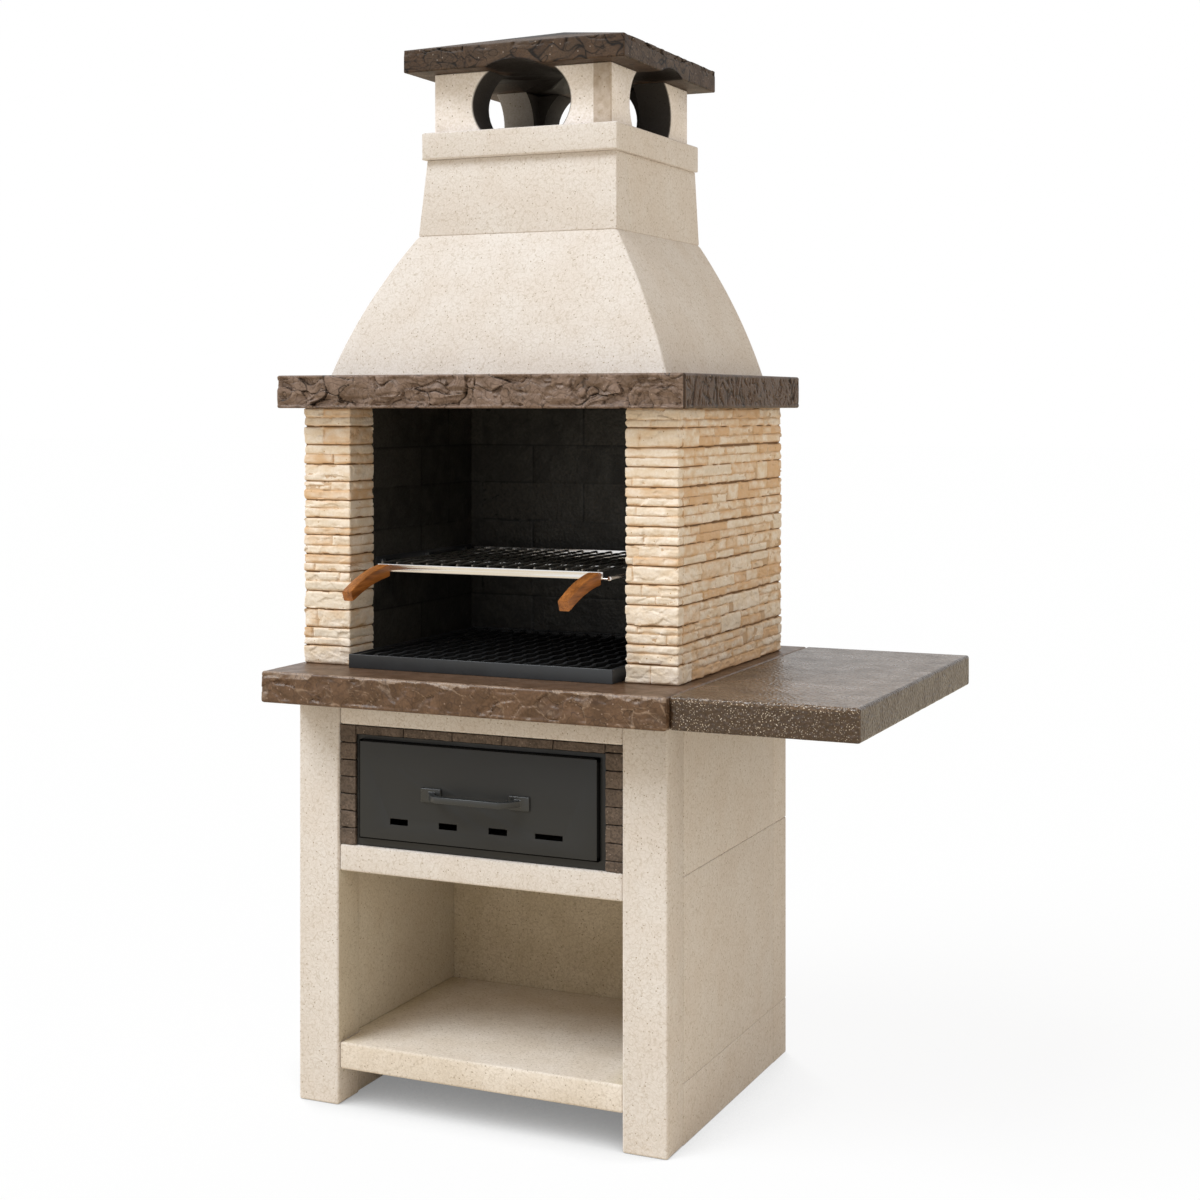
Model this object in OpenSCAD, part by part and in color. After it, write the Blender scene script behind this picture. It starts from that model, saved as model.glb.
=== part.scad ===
// Masonry garden barbecue: cast-stone base with a storage niche and an ash
// drawer, a bench slab with a side shelf, a firebox between two stone-clad
// side walls, a lintel, a smoke hood and a chimney with a crown and a cap.
// Units are millimetres. Z points up, the cook stands on the -Y side.
// Modules work from the middle of the base front; place() moves the whole
// to the middle of its footprint.

/* [Base] */
// Width over the two side walls
base_width = 780; // [700:10:900]
// Depth of the side walls
base_depth = 658; // [600:2:720]
// Height of the base under the bench slab
base_height = 790; // [740:5:840]
// Width of a front leg
leg_width = 90; // [70:1:110]
// Depth of a front leg
leg_depth = 78; // [66:1:100]
// Depth of a rear column of a side wall
rear_column = 80; // [60:1:100]
// How far a side wall steps back from the inner face of its leg
wall_step = 6; // [2:0.5:10]
// Distance from the floor to the underside of the bottom shelf
bottom_clear = 70; // [50:1:100]
// Thickness of both shelf slabs
shelf_thick = 52; // [40:1:60]
// Clear height of the storage niche
niche_height = 333; // [280:1:360]
// Distance from the leg fronts to the niche back panel
niche_depth = 481; // [440:1:520]
// Thickness of the back panel
back_thick = 40; // [30:1:50]
// Depth of the grooves that carry the shelf slabs
groove_depth = 20; // [12:1:30]
// Setback of shelves, apron and brick surround from the leg fronts
front_setback = 4; // [2:0.5:8]
// Height of the apron beam under the bench slab
apron_height = 50; // [40:1:60]
// Depth of the apron beam
apron_depth = 60; // [50:1:70]

/* [Brick surround] */
// Width of a brick column beside the drawer
brick_column = 36; // [28:1:44]
// Height of the brick course over the drawer
brick_course = 18; // [14:1:24]
// Depth of the bricks
brick_depth = 50; // [42:1:60]
// Distance between two joints of a brick column
brick_pitch = 33; // [26:1:40]
// Width and depth of a joint groove
joint_cut = 2; // [1:0.5:3]

/* [Ash drawer] */
// Sheet and angle thickness of the steel frame
frame_sheet = 3; // [2:0.5:4]
// Visible width of the frame lip
frame_lip = 19; // [16:1:22]
// Depth of the frame sleeve
frame_sleeve = 30; // [24:1:40]
// Setback of the frame lip behind the brick faces
frame_back = 6; // [4:0.5:10]
// Sheet thickness of drawer and front
drawer_sheet = 2; // [1.5:0.1:3]
// Thickness of the folded front
front_thick = 11.7; // [9:0.1:14]
// Overlap of the front over the frame lip
front_overlap = 8; // [6:0.5:10]
// Gap between frame lip and closed front
front_gap = 0.3; // [0.2:0.05:0.4]
// Gap beside and above the drawer box in the frame
box_gap = 9; // [6:0.5:12]
// Depth of the drawer box
box_depth = 440; // [380:5:450]
// Gap between drawer box and its rails
rail_gap = 0.2; // [0.1:0.05:0.3]
// Width of a rail ledge
rail_ledge = 22; // [16:1:30]
// Height of a rail web over its ledge
rail_web = 30; // [20:1:40]
// Height of the air slots
slot_height = 12; // [8:1:14]
// Distance from the front's lower edge to the slots
slot_rise = 30; // [24:1:40]
// Distance from the drawer's middle to the middle of the first slot
slot_first = 166; // [150:1:175]
// Distance between the middles of two slots
slot_pitch = 107; // [90:1:115]
// Width of the three short air slots
slot_short = 39; // [30:1:45]
// Width of the long air slot
slot_long = 57; // [48:1:64]

/* [Drawer handle] */
// Width of a handle plate
plate_width = 43; // [36:1:50]
// Height of a handle plate
plate_height = 27; // [22:1:34]
// Thickness of a handle plate
plate_thick = 4; // [3:0.5:6]
// Height of the drawer handle over the foot of the front
handle_rise = 95; // [80:1:120]
// Distance between the outer edges of the plates
plate_span = 230; // [200:2:260]
// Side of the square handle bar
bar_side = 12; // [10:0.5:14]
// Distance from the plates to the inside of the bar
bar_reach = 24; // [20:1:34]

/* [Bench and side shelf] */
// Thickness of bench slab and side shelf
bench_thick = 60; // [50:1:70]
// Overhang of the bench slab in front of the legs
bench_front = 105; // [80:1:120]
// Overhang of the bench slab behind the side walls
bench_rear = 28; // [10:1:40]
// Overhang on the left side
bench_left = 20; // [15:1:40]
// Overhang on the shelf side
bench_right = 38; // [30:1:50]
// Width of the side shelf
shelf_width = 346; // [250:2:400]
// Setback of the side shelf from the bench front
shelf_setback = 17; // [10:1:30]
// Width of the ash opening in the bench slab
ash_width = 300; // [240:5:340]
// Depth of the ash opening
ash_depth = 200; // [140:5:240]
// Diameter of the steel dowels that carry the side shelf
dowel_dia = 16; // [12:1:20]
// Length of a dowel
dowel_length = 240; // [200:5:280]
// Radial clearance of a dowel in its bore
dowel_fit = 0.05; // [0.02:0.01:0.08]

/* [Firebox] */
// Distance between the inner faces of the side walls
fire_width = 584; // [540:2:620]
// Thickness of a clad side wall
wall_thick = 108; // [96:1:120]
// Height of the side walls
wall_height = 503.5; // [460:0.5:560]
// Setback of the stone faces from the leg fronts
wall_front = 30; // [20:1:50]
// Depth of the side walls
wall_depth = 572; // [540:2:600]
// Depth of the stone return inside the opening
stone_return = 90; // [70:1:110]
// Thickness of the firebrick lining
brick_lining = 40; // [30:1:46]
// Thickness of the plain wall behind the rear lining
rear_wall = 25; // [20:1:40]
// Height of a lining course
lining_course = 81; // [70:1:100]
// Length of a lining brick
lining_brick = 242; // [200:2:280]

/* [Stone cladding] */
// Thickness of the cladding
clad_thick = 24; // [20:1:28]
// Number of cladding panels one above the other
clad_panels = 7; // [5:1:9]
// Most a stone can lie behind the outer face
clad_relief = 5; // [2:0.5:7]
// Joint between stones
clad_joint = 1.5; // [1:0.25:2.5]

/* [Lintel and hood] */
// Thickness of the lintel slab
lintel_thick = 64; // [54:1:74]
// Overhang of the lintel over the side walls
lintel_side = 30.5; // [20:0.5:44]
// Overhang of the lintel in front of the side walls
lintel_front = 50; // [30:1:60]
// Overhang of the lintel behind the side walls
lintel_rear = 26; // [10:1:40]
// Setback of the hood from the sides of the side walls
hood_inset = 40; // [30:1:60]
// Setback of the hood front from the stone faces
hood_front = 37; // [25:1:50]
// Height of the hood
hood_height = 279.5; // [240:0.5:320]
// Wall thickness of hood and neck
hood_wall = 45; // [36:1:52]
// Width at the top of the hood
neck_width = 433; // [400:2:470]
// Distance the hood front leans back
hood_lean = 100; // [80:1:120]
// Height of the neck
neck_height = 154; // [120:1:190]
// Narrowing of the neck on each side
neck_taper = 9; // [4:0.5:14]
// Distance the neck front leans back
neck_lean = 20; // [12:1:28]
// Depth of the front neck block
neck_block = 70; // [56:1:90]

/* [Chimney top] */
// Height of the collar slab
collar_height = 54; // [40:1:66]
// Overhang of the collar over the neck
collar_over = 7; // [4:0.5:12]
// Height of the crown posts
crown_height = 118; // [95:1:130]
// Setback of the crown from the collar edge
crown_inset = 21; // [14:0.5:28]
// Wall thickness of the crown posts
crown_wall = 72; // [62:1:84]
// Half width of the oval smoke holes
hole_half = 107; // [90:1:112]
// Half height of the oval smoke holes
hole_half_tall = 88; // [78:1:92]
// Height of the hole centres over the collar
hole_rise = 51; // [45:1:55]
// Thickness of the cap slab at its edge
cap_thick = 45; // [40:1:60]
// How much lower the smoke holes end in the cap
recess_drop = 8; // [4:0.5:12]
// Overhang of the cap over the crown
cap_over = 47; // [35:1:60]
// Rise of the low pyramid on the cap
cap_rise = 60; // [30:1:80]

/* [Cooking grate] */
// Height of the grate top over the bench
grate_level = 205; // [160:1:260]
// Setback of the grate front bar from the leg fronts
grate_front = 48; // [36:1:70]
// Depth of the grate
grate_depth = 432; // [380:2:460]
// Gap between a grate side rod and the side wall
grate_gap = 34; // [30:0.5:38]
// Height of the flat front and rear bars
flat_bar = 13; // [10:0.5:18]
// Thickness of the flat bars
flat_thick = 4; // [3:0.5:5]
// Diameter of frame rods
frame_rod = 8; // [6:0.5:10]
// Diameter of the cooking rods
cook_rod = 5; // [4:0.5:6]
// Distance between cooking rods
rod_pitch = 33; // [26:1:44]
// Distance from the front edge of the lining to the front of a rail
rail_inset = 4; // [0:1:10]
// Width of a rail that carries the grate
grate_rail = 46; // [44:0.5:48]
// Sheet thickness of the grate rails
rail_sheet = 3; // [2:0.5:4]

/* [Wooden handles] */
// Distance from a side rod to the middle of a handle
handle_inset = 29; // [24:1:40]
// Distance from the middle of a handle to the end of the front bar
bar_end = 15; // [14:0.5:20]
// Width of a handle
handle_width = 25; // [20:1:30]
// Height of a handle section
handle_height = 25; // [20:1:30]
// Forward reach of a handle from the front bar
handle_reach = 138; // [100:1:142]
// Drop of a handle tip
handle_drop = 26; // [15:1:40]
// Diameter of the handle bolts
bolt_dia = 6; // [5:0.5:8]
// Radial clearance of a handle bolt
bolt_fit = 0.05; // [0.02:0.01:0.08]
// Length of a handle bolt inside the wood
bolt_length = 24; // [18:1:30]
// Diameter of a bolt head
bolt_head = 8; // [7:0.5:8]
// Thickness of a bolt head
bolt_head_thick = 4; // [3:0.5:5]

/* [Ember tray] */
// Gap between tray and side walls
tray_gap = 12.5; // [8:0.5:20]
// Height of the tray
tray_height = 27; // [22:1:36]
// Sheet thickness of the tray
tray_sheet = 3; // [2:0.5:4]
// Setback of the tray from the leg fronts
tray_front = 4; // [0:1:20]
// Gap between tray and rear lining
tray_rear = 11; // [6:1:30]
// Gap between charcoal grate and tray walls
coal_gap = 3; // [2:0.5:6]
// Height of the charcoal grate bars
coal_bar = 14; // [10:1:16]
// Width of the charcoal grate bars
coal_width = 8; // [6:0.5:12]
// Distance between charcoal grate bars
coal_pitch = 30; // [24:1:40]

/* [Hidden] */
$fn = 64;
eps = 1;
half = base_width / 2;
leg_in = half - leg_width;
wall_in = leg_in + wall_step;
rear_start = base_depth - rear_column;
bottom_top = bottom_clear + shelf_thick;
middle_under = bottom_top + niche_height;
middle_top = middle_under + shelf_thick;
plinth_top = bottom_top - 8;
side_joint = middle_top - 13;
apron_under = base_height - apron_height;
arch_under = apron_under - brick_course;
arch_half = leg_in - brick_column;
lip_face = front_setback + frame_back;
open_half = arch_half - frame_lip;
open_low = middle_top + frame_lip + 6;
open_high = arch_under - frame_lip + 3;
front_half = open_half + front_overlap;
front_low = open_low - front_overlap;
front_high = open_high + front_overlap;
front_y1 = lip_face - front_gap;
front_y0 = front_y1 - front_thick;
box_half = open_half - box_gap;
box_low = open_low + box_gap;
box_high = open_high - box_gap;
box_end = front_y0 + drawer_sheet + box_depth;
ledge_top = box_low - rail_gap;
rail_start = lip_face + frame_sleeve;
handle_z = front_low + handle_rise;
bench_top = base_height + bench_thick;
bench_x0 = -half - bench_left;
bench_x1 = half + bench_right;
bench_y0 = -bench_front;
bench_y1 = base_depth + bench_rear;
shelf_x1 = bench_x1 + shelf_width;
dowel_z = base_height + bench_thick / 2;
dowel_y = [bench_y1 * 0.12, bench_y1 * 0.5, bench_y1 * 0.88];
fire_half = fire_width / 2;
wall_half = fire_half + wall_thick;
wall_y0 = wall_front;
wall_y1 = wall_front + wall_depth;
wall_top = bench_top + wall_height;
lining_y0 = wall_y0 + stone_return;
lining_y1 = wall_y1 - rear_wall - brick_lining;
lining_out = fire_half + brick_lining;
ash_y0 = (wall_y0 + lining_y1) / 2 - ash_depth / 2 + 20;
panel_h = wall_height / clad_panels;
lintel_top = wall_top + lintel_thick;
lintel_half = wall_half + lintel_side;
hood_half = wall_half - hood_inset;
hood_y0 = wall_y0 + hood_front;
hood_top = lintel_top + hood_height;
neck_half = neck_width / 2;
neck_y0 = hood_y0 + hood_lean;
neck_top = hood_top + neck_height;
neck_top_half = neck_half - neck_taper;
neck_top_y0 = neck_y0 + neck_lean;
flue_half = neck_top_half - hood_wall;
flue_y0 = neck_top_y0 + hood_wall;
flue_y1 = wall_y1 - hood_wall;
collar_half = neck_top_half + collar_over;
collar_y0 = neck_top_y0 - collar_over - 5;
collar_y1 = wall_y1 + 1;
collar_top = neck_top + collar_height;
crown_half = collar_half - crown_inset;
crown_y0 = collar_y0 + crown_inset - 4;
crown_y1 = collar_y1 - crown_inset + 11;
crown_mid = (crown_y0 + crown_y1) / 2;
crown_top = collar_top + crown_height;
hole_z = collar_top + hole_rise;
cap_half = crown_half + cap_over;
cap_y0 = crown_y0 - cap_over + 3;
cap_y1 = crown_y1 + cap_over - 5;
cap_top = crown_top + cap_thick;
grate_top = bench_top + grate_level;
bar_z1 = grate_top - cook_rod;
bar_z0 = bar_z1 - flat_bar;
rod_z = bar_z0 + (frame_rod - cook_rod) / 2;
grate_y1 = grate_front + grate_depth;
grate_width = fire_width - 2 * grate_gap;
side_rod_x = grate_width / 2 - frame_rod / 2;
rail_top = rod_z - frame_rod / 2;
rail_y0 = lining_y0 + rail_inset;
rail_y1 = lining_y1 - 5;
rail_in = fire_half - grate_rail;
screw_y = [lining_y0 + 30, (lining_y0 + lining_y1) / 2, lining_y1 - 40];
bar_half = side_rod_x;
cook_z = grate_top - cook_rod / 2;
cook_count = floor((grate_width / 2 - 20) / rod_pitch);
hold_x = bar_half - handle_inset;
bar_front_half = hold_x + bar_end;
bolt_z = (bar_z0 + bar_z1) / 2;
tray_half = fire_half - tray_gap;
tray_y1 = lining_y1 - tray_rear;
tray_top = bench_top + tray_height;
coal_half = tray_half - tray_sheet - coal_gap;
coal_y0 = tray_front + tray_sheet + coal_gap;
coal_y1 = tray_y1 - tray_sheet - coal_gap;
coal_top = tray_top - 2;
coal_under = coal_top - coal_bar;
coal_count = floor((coal_half - coal_width) / coal_pitch);
mid_x = (shelf_x1 + min(bench_x0, -lintel_half)) / 2;
mid_y = (bench_y1 + bench_y0) / 2;

// Shared helpers

// Box between two corners
module block(a, b) {
  translate(a) cube(b - a);
}

// Whole barbecue moved to the middle of its footprint
module place() {
  translate([-mid_x, -mid_y, 0]) children();
}

// Left-hand twin of a right-hand piece
module left() {
  mirror([1, 0, 0]) children();
}

// Repeatable number between 0 and 1
function pick(i, j) = (abs(sin(i * 127.1 + j * 311.7) * 4375.85)) % 1;

// Base

module leg() {
  block([leg_in, 0, 0], [half, leg_depth, base_height]);
}

module wall_course(z0, z1, cut0, cut1) {
  difference() {
    block([wall_in, leg_depth, z0], [half, rear_start, z1]);
    block([wall_in - eps, leg_depth - eps, cut0],
          [wall_in + groove_depth, niche_depth, cut1]);
  }
}

module plinth_block() {
  wall_course(0, plinth_top, bottom_clear, plinth_top + eps);
}

module lower_panel() {
  difference() {
    wall_course(plinth_top, side_joint, plinth_top - eps, bottom_top);
    block([wall_in - eps, leg_depth - eps, middle_under],
          [wall_in + groove_depth, niche_depth, side_joint + eps]);
  }
}

module upper_panel() {
  wall_course(side_joint, base_height, side_joint - eps, middle_top);
}

module rear_post() {
  difference() {
    block([wall_in, rear_start, 0], [half, base_depth, base_height]);
    for (z = [plinth_top, side_joint])
      block([half - joint_cut, rear_start - eps, z - joint_cut / 2],
            [half + eps, base_depth + eps, z + joint_cut / 2]);
  }
}

module back_panel() {
  color("#cfc2ae")
  block([-wall_in, niche_depth, 0],
        [wall_in, niche_depth + back_thick, base_height]);
}

module shelf(z0) {
  block([-leg_in, front_setback, z0],
        [leg_in, niche_depth, z0 + shelf_thick]);
  block([-wall_in - groove_depth, leg_depth, z0],
        [wall_in + groove_depth, niche_depth, z0 + shelf_thick]);
}

module apron_beam() {
  color("#cfc2ae")
  block([-leg_in, front_setback, apron_under],
        [leg_in, front_setback + apron_depth, base_height]);
}

// Brick surround of the drawer

module surround_side(shift) {
  rows = floor((apron_under - middle_top) / brick_pitch);
  difference() {
    block([arch_half, front_setback, middle_top],
          [leg_in, front_setback + brick_depth, apron_under]);
    for (i = [1 : rows]) {
      z = middle_top + i * brick_pitch - shift;
      if (z < apron_under - 4)
        block([arch_half - eps, front_setback - eps, z],
              [leg_in + eps, front_setback + joint_cut, z + joint_cut]);
    }
  }
}

module surround_top() {
  color("#4b4038")
  block([-arch_half, front_setback, arch_under],
        [arch_half, front_setback + brick_depth, apron_under]);
}

// Ash drawer

module drawer_frame() {
  color("#2e2e2e")
  difference() {
    block([-arch_half, lip_face, middle_top],
          [arch_half, rail_start, arch_under]);
    block([-arch_half + frame_sheet, lip_face + frame_sheet,
           middle_top + frame_sheet],
          [arch_half - frame_sheet, rail_start + eps,
           arch_under - frame_sheet]);
    block([-open_half, lip_face - eps, open_low],
          [open_half, rail_start, open_high]);
  }
}

module drawer_rail() {
  web = box_half + 1;
  block([web, rail_start, middle_top],
        [web + frame_sheet, niche_depth, ledge_top + rail_web]);
  block([web + frame_sheet - rail_ledge, rail_start,
         ledge_top - frame_sheet],
        [web + frame_sheet, niche_depth, ledge_top]);
}

module drawer_box() {
  y0 = front_y0 + drawer_sheet;
  color("#3a3a3a")
  difference() {
    block([-box_half, y0, box_low], [box_half, box_end, box_high]);
    block([-box_half + drawer_sheet, y0 - eps, box_low + drawer_sheet],
          [box_half - drawer_sheet, box_end - drawer_sheet,
           box_high + eps]);
  }
}

module drawer_front() {
  z0 = front_low + slot_rise;
  color("#3a3a3a")
  difference() {
    block([-front_half, front_y0, front_low],
          [front_half, front_y1, front_high]);
    block([-front_half + drawer_sheet, front_y0 + drawer_sheet,
           front_low + drawer_sheet],
          [front_half - drawer_sheet, front_y1 + eps,
           front_high - drawer_sheet]);
    for (i = [0 : 3]) {
      x = i * slot_pitch - slot_first;
      w = i == 3 ? slot_long : slot_short;
      block([x - w / 2, front_y0 - eps, z0],
            [x + w / 2, front_y0 + drawer_sheet + eps,
             z0 + (i == 3 ? slot_height - 2 : slot_height)]);
    }
  }
}

module drawer_handle() {
  x1 = plate_span / 2;
  x0 = x1 - plate_width;
  y = front_y0 - plate_thick;
  n = 14;
  color("#333333") {
    for (s = [-1, 1])
      block([s > 0 ? x0 : -x1, y, handle_z - plate_height / 2],
            [s > 0 ? x1 : -x0, front_y0, handle_z + plate_height / 2]);
    translate([0, 0, handle_z - bar_side / 2])
    linear_extrude(height = bar_side)
    polygon([
      [-x0 - n - bar_side, y + 1], [-x0 - n, y + 1],
      [-x0 - 2, y - bar_reach + 8], [-x0 + 8, y - bar_reach],
      [x0 - 8, y - bar_reach], [x0 + 2, y - bar_reach + 8],
      [x0 + n, y + 1], [x0 + n + bar_side, y + 1],
      [x0 + n - 2, y - bar_reach + 2], [x0 + 2, y - bar_reach - 8],
      [x0 - 6, y - bar_reach - bar_side],
      [-x0 + 6, y - bar_reach - bar_side],
      [-x0 - 2, y - bar_reach - 8], [-x0 - n + 2, y - bar_reach + 2]]);
  }
}

// Bench slab and side shelf

module dowels(radius, x0, x1) {
  for (y = dowel_y)
    translate([x0, y, dowel_z])
    rotate([0, 90, 0])
    cylinder(h = x1 - x0, r = radius);
}

module bench_slab() {
  bore = dowel_dia / 2 + dowel_fit;
  color("#5e4638")
  difference() {
    block([bench_x0, bench_y0, base_height],
          [bench_x1, bench_y1, bench_top]);
    block([-ash_width / 2, ash_y0, base_height - eps],
          [ash_width / 2, ash_y0 + ash_depth, bench_top + eps]);
    dowels(bore, bench_x1 - dowel_length / 2, bench_x1 + eps);
  }
}

module side_shelf() {
  bore = dowel_dia / 2 + dowel_fit;
  color("#5c4a3c")
  difference() {
    block([bench_x1, bench_y0 + shelf_setback, base_height],
          [shelf_x1, bench_y1, bench_top]);
    dowels(bore, bench_x1 - eps, bench_x1 + dowel_length / 2);
  }
}

module side_shelf_dowels() {
  color("#8a8d90")
  dowels(dowel_dia / 2, bench_x1 - dowel_length / 2,
         bench_x1 + dowel_length / 2);
}

// Side walls of the firebox

module wall_core() {
  face = wall_half - clad_thick;
  translate([0, 0, bench_top])
  linear_extrude(height = wall_height)
  polygon([
    [fire_half + clad_thick, wall_y0 + clad_thick],
    [face, wall_y0 + clad_thick], [face, wall_y1],
    [lining_out, wall_y1], [lining_out, lining_y0],
    [fire_half + clad_thick, lining_y0]]);
}

// Two corner stones in every panel, wrapped round into the opening
module front_stones(seed) {
  skin = clad_relief + 2;
  bed = clad_thick - 2;
  block([fire_half + skin, wall_y0 + skin, bench_top],
        [wall_half - skin, wall_y0 + clad_thick, wall_top]);
  block([fire_half + skin, wall_y0 + skin, bench_top],
        [fire_half + clad_thick, lining_y0, wall_top]);
  for (i = [0 : clad_panels - 1], k = [0, 1]) {
    z0 = bench_top + (i + k * 0.46) * panel_h + k * clad_joint / 2;
    z1 = bench_top + (i + (k > 0 ? 1 : 0.46)) * panel_h - clad_joint;
    a = clad_relief * pick(i + seed, k);
    b = clad_relief * pick(i + seed, k + 3);
    c = clad_relief * pick(i + seed, k + 6);
    block([fire_half + a, wall_y0 + c, z0],
          [wall_half - b, wall_y0 + bed, z1]);
    block([fire_half + a, wall_y0 + c, z0],
          [fire_half + bed, lining_y0, z1]);
  }
}

// Four strips of flat stones in every panel of the outer face
module side_stones(seed) {
  skin = clad_relief + 2;
  y0 = wall_y0 + clad_thick;
  face = wall_half - clad_thick;
  run = wall_y1 - y0;
  strip = panel_h / 4;
  block([face, y0, bench_top], [wall_half - skin, wall_y1, wall_top]);
  for (i = [0 : clad_panels * 4 - 1]) {
    s = run * (0.22 + 0.16 * pick(i, seed));
    t = run * (0.58 + 0.2 * pick(i, seed + 5));
    cuts = [0, s, t, run];
    for (k = [0 : 2]) {
      d = clad_relief * pick(i * 3 + k, seed + 9);
      block([wall_half - skin - 1, y0 + cuts[k],
             bench_top + i * strip],
            [wall_half - d, y0 + cuts[k + 1] - (k < 2 ? clad_joint : 0),
             bench_top + (i + 1) * strip - clad_joint]);
    }
  }
}

module lining_side() {
  rows = floor(wall_height / lining_course);
  difference() {
    block([fire_half, lining_y0, bench_top],
          [lining_out, lining_y1, wall_top]);
    for (i = [1 : rows])
      block([fire_half - eps, lining_y0 - eps,
             wall_top - i * lining_course],
            [fire_half + joint_cut, lining_y1 + eps,
             wall_top - i * lining_course + joint_cut]);
    for (i = [0 : rows - 1])
      translate([fire_half - eps,
                 lining_y0 + lining_brick * (i % 2 == 0 ? 0.3 : 0.8),
                 wall_top - (i + 1) * lining_course + joint_cut / 2])
      cube([joint_cut + eps, joint_cut, lining_course]);
    screws(1, bolt_dia + 2 * bolt_fit);
  }
}

module firebox_rear_lining() {
  rows = floor(wall_height / lining_course);
  color("#1d1d1c")
  difference() {
    block([-lining_out, lining_y1, bench_top],
          [lining_out, lining_y1 + brick_lining, wall_top]);
    for (i = [1 : rows])
      block([-fire_half, lining_y1 - eps, wall_top - i * lining_course],
            [fire_half, lining_y1 + joint_cut,
             wall_top - i * lining_course + joint_cut]);
    for (i = [0 : rows - 1], k = [-1, 0])
      translate([lining_brick * (k + (i % 2 == 0 ? 0.91 : 0.41)),
                 lining_y1 - eps,
                 wall_top - (i + 1) * lining_course + joint_cut / 2])
      cube([joint_cut, joint_cut + eps, lining_course]);
  }
}

module firebox_rear_wall() {
  color("#cfc2ae")
  block([-lining_out, lining_y1 + brick_lining, bench_top],
        [lining_out, wall_y1, wall_top]);
}

// Lintel and hood

module lintel_slab() {
  color("#6b574a")
  difference() {
    block([-lintel_half, wall_y0 - lintel_front, wall_top],
          [lintel_half, wall_y1 + lintel_rear, lintel_top]);
    block([-fire_half, hood_y0 + hood_wall, wall_top - eps],
          [fire_half, lining_y1, lintel_top + eps]);
  }
}

// Share of the lean reached at height share t: round below, straighter above
function lean(t) = t * (0.66 + 0.34 * t);

// Closed stack of rectangles [half width, front, rear, height]
module stack(rings) {
  n = len(rings);
  points = [for (r = rings)
    each [[-r[0], r[1], r[3]], [r[0], r[1], r[3]],
          [r[0], r[2], r[3]], [-r[0], r[2], r[3]]]];
  sides = [for (i = [0 : n - 2], k = [0 : 3])
    [4 * i + k, 4 * i + 4 + k, 4 * i + 4 + (k + 1) % 4,
     4 * i + (k + 1) % 4]];
  polyhedron(points, concat([[0, 1, 2, 3]],
    [[4 * n - 1, 4 * n - 2, 4 * n - 3, 4 * n - 4]], sides));
}

module smoke_hood() {
  n = 6;
  inner = hood_half - hood_wall;
  color("#e0d5c5")
  difference() {
    stack([for (i = [0 : n])
      [hood_half - (hood_half - neck_half) * lean(i / n),
       hood_y0 + hood_lean * lean(i / n), wall_y1,
       lintel_top + hood_height * i / n]]);
    stack([for (i = [-0.01, 1, 2, 3, 4, 5, 6.01])
      [inner - (inner - flue_half) * lean(max(0, min(1, i / n))),
       hood_y0 + hood_wall
       + (flue_y0 - hood_y0 - hood_wall) * lean(max(0, min(1, i / n))),
       flue_y1, lintel_top + hood_height * i / n]]);
  }
}

module neck_shell() {
  difference() {
    stack([[neck_half, neck_y0, wall_y1, hood_top],
           [neck_top_half, neck_top_y0, wall_y1, neck_top]]);
    block([-flue_half, flue_y0, hood_top - eps],
          [flue_half, flue_y1, neck_top + eps]);
  }
}

module neck_front_block() {
  color("#ddd2c2")
  intersection() {
    neck_shell();
    block([-neck_half - eps, neck_y0 - eps, hood_top - eps],
          [neck_half + eps, neck_y0 + neck_block, neck_top + eps]);
  }
}

module neck_rear_block() {
  color("#ddd2c2")
  intersection() {
    neck_shell();
    block([-neck_half - eps, neck_y0 + neck_block, hood_top - eps],
          [neck_half + eps, wall_y1 + eps, neck_top + eps]);
  }
}

// Chimney top

module collar_slab() {
  color("#e0d5c5")
  difference() {
    block([-collar_half, collar_y0, neck_top],
          [collar_half, collar_y1, collar_top]);
    block([-flue_half, flue_y0, neck_top - eps],
          [flue_half, flue_y1, collar_top + eps]);
  }
}

module smoke_hole() {
  n = 48;
  span = cap_y1 - cap_y0 + 2 * cap_over;
  translate([0, 0, -span / 2])
  linear_extrude(height = span)
  polygon([for (i = [0 : n - 1]) let (a = 360 * i / n)
    [hole_half * cos(a), hole_half_tall * sin(a)]]);
}

module smoke_holes() {
  translate([0, crown_mid, hole_z])
  for (turn = [0, 90])
    rotate([90, 0, turn])
    smoke_hole();
}

module crown_posts() {
  color("#d8ccba")
  difference() {
    block([-crown_half, crown_y0, collar_top],
          [crown_half, crown_y1, crown_top]);
    block([-crown_half + crown_wall, crown_y0 + crown_wall,
           collar_top - eps],
          [crown_half - crown_wall, crown_y1 - crown_wall,
           crown_top + eps]);
    smoke_holes();
  }
}

module cap_slab() {
  color("#5f544e") {
    difference() {
      block([-cap_half, cap_y0, crown_top], [cap_half, cap_y1, cap_top]);
      translate([0, 0, -recess_drop])
      smoke_holes();
    }
    translate([0, 0, cap_top - 1])
    polyhedron(
      [[-cap_half + 6, cap_y0 + 6, 0], [cap_half - 6, cap_y0 + 6, 0],
       [cap_half - 6, cap_y1 - 6, 0], [-cap_half + 6, cap_y1 - 6, 0],
       [0, (cap_y0 + cap_y1) / 2, cap_rise + 1]],
      [[0, 1, 2, 3], [1, 0, 4], [2, 1, 4], [3, 2, 4], [0, 3, 4]]);
  }
}

// Cooking grate

module rod_y(x, y0, y1, z, dia) {
  translate([x, y0, z])
  rotate([-90, 0, 0])
  cylinder(h = y1 - y0, d = dia);
}

module bolt_bores(dia) {
  for (s = [-1, 1])
    rod_y(s * hold_x, grate_front - bolt_length - 2,
          grate_front + flat_thick + 1, bolt_z, dia);
}

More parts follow.
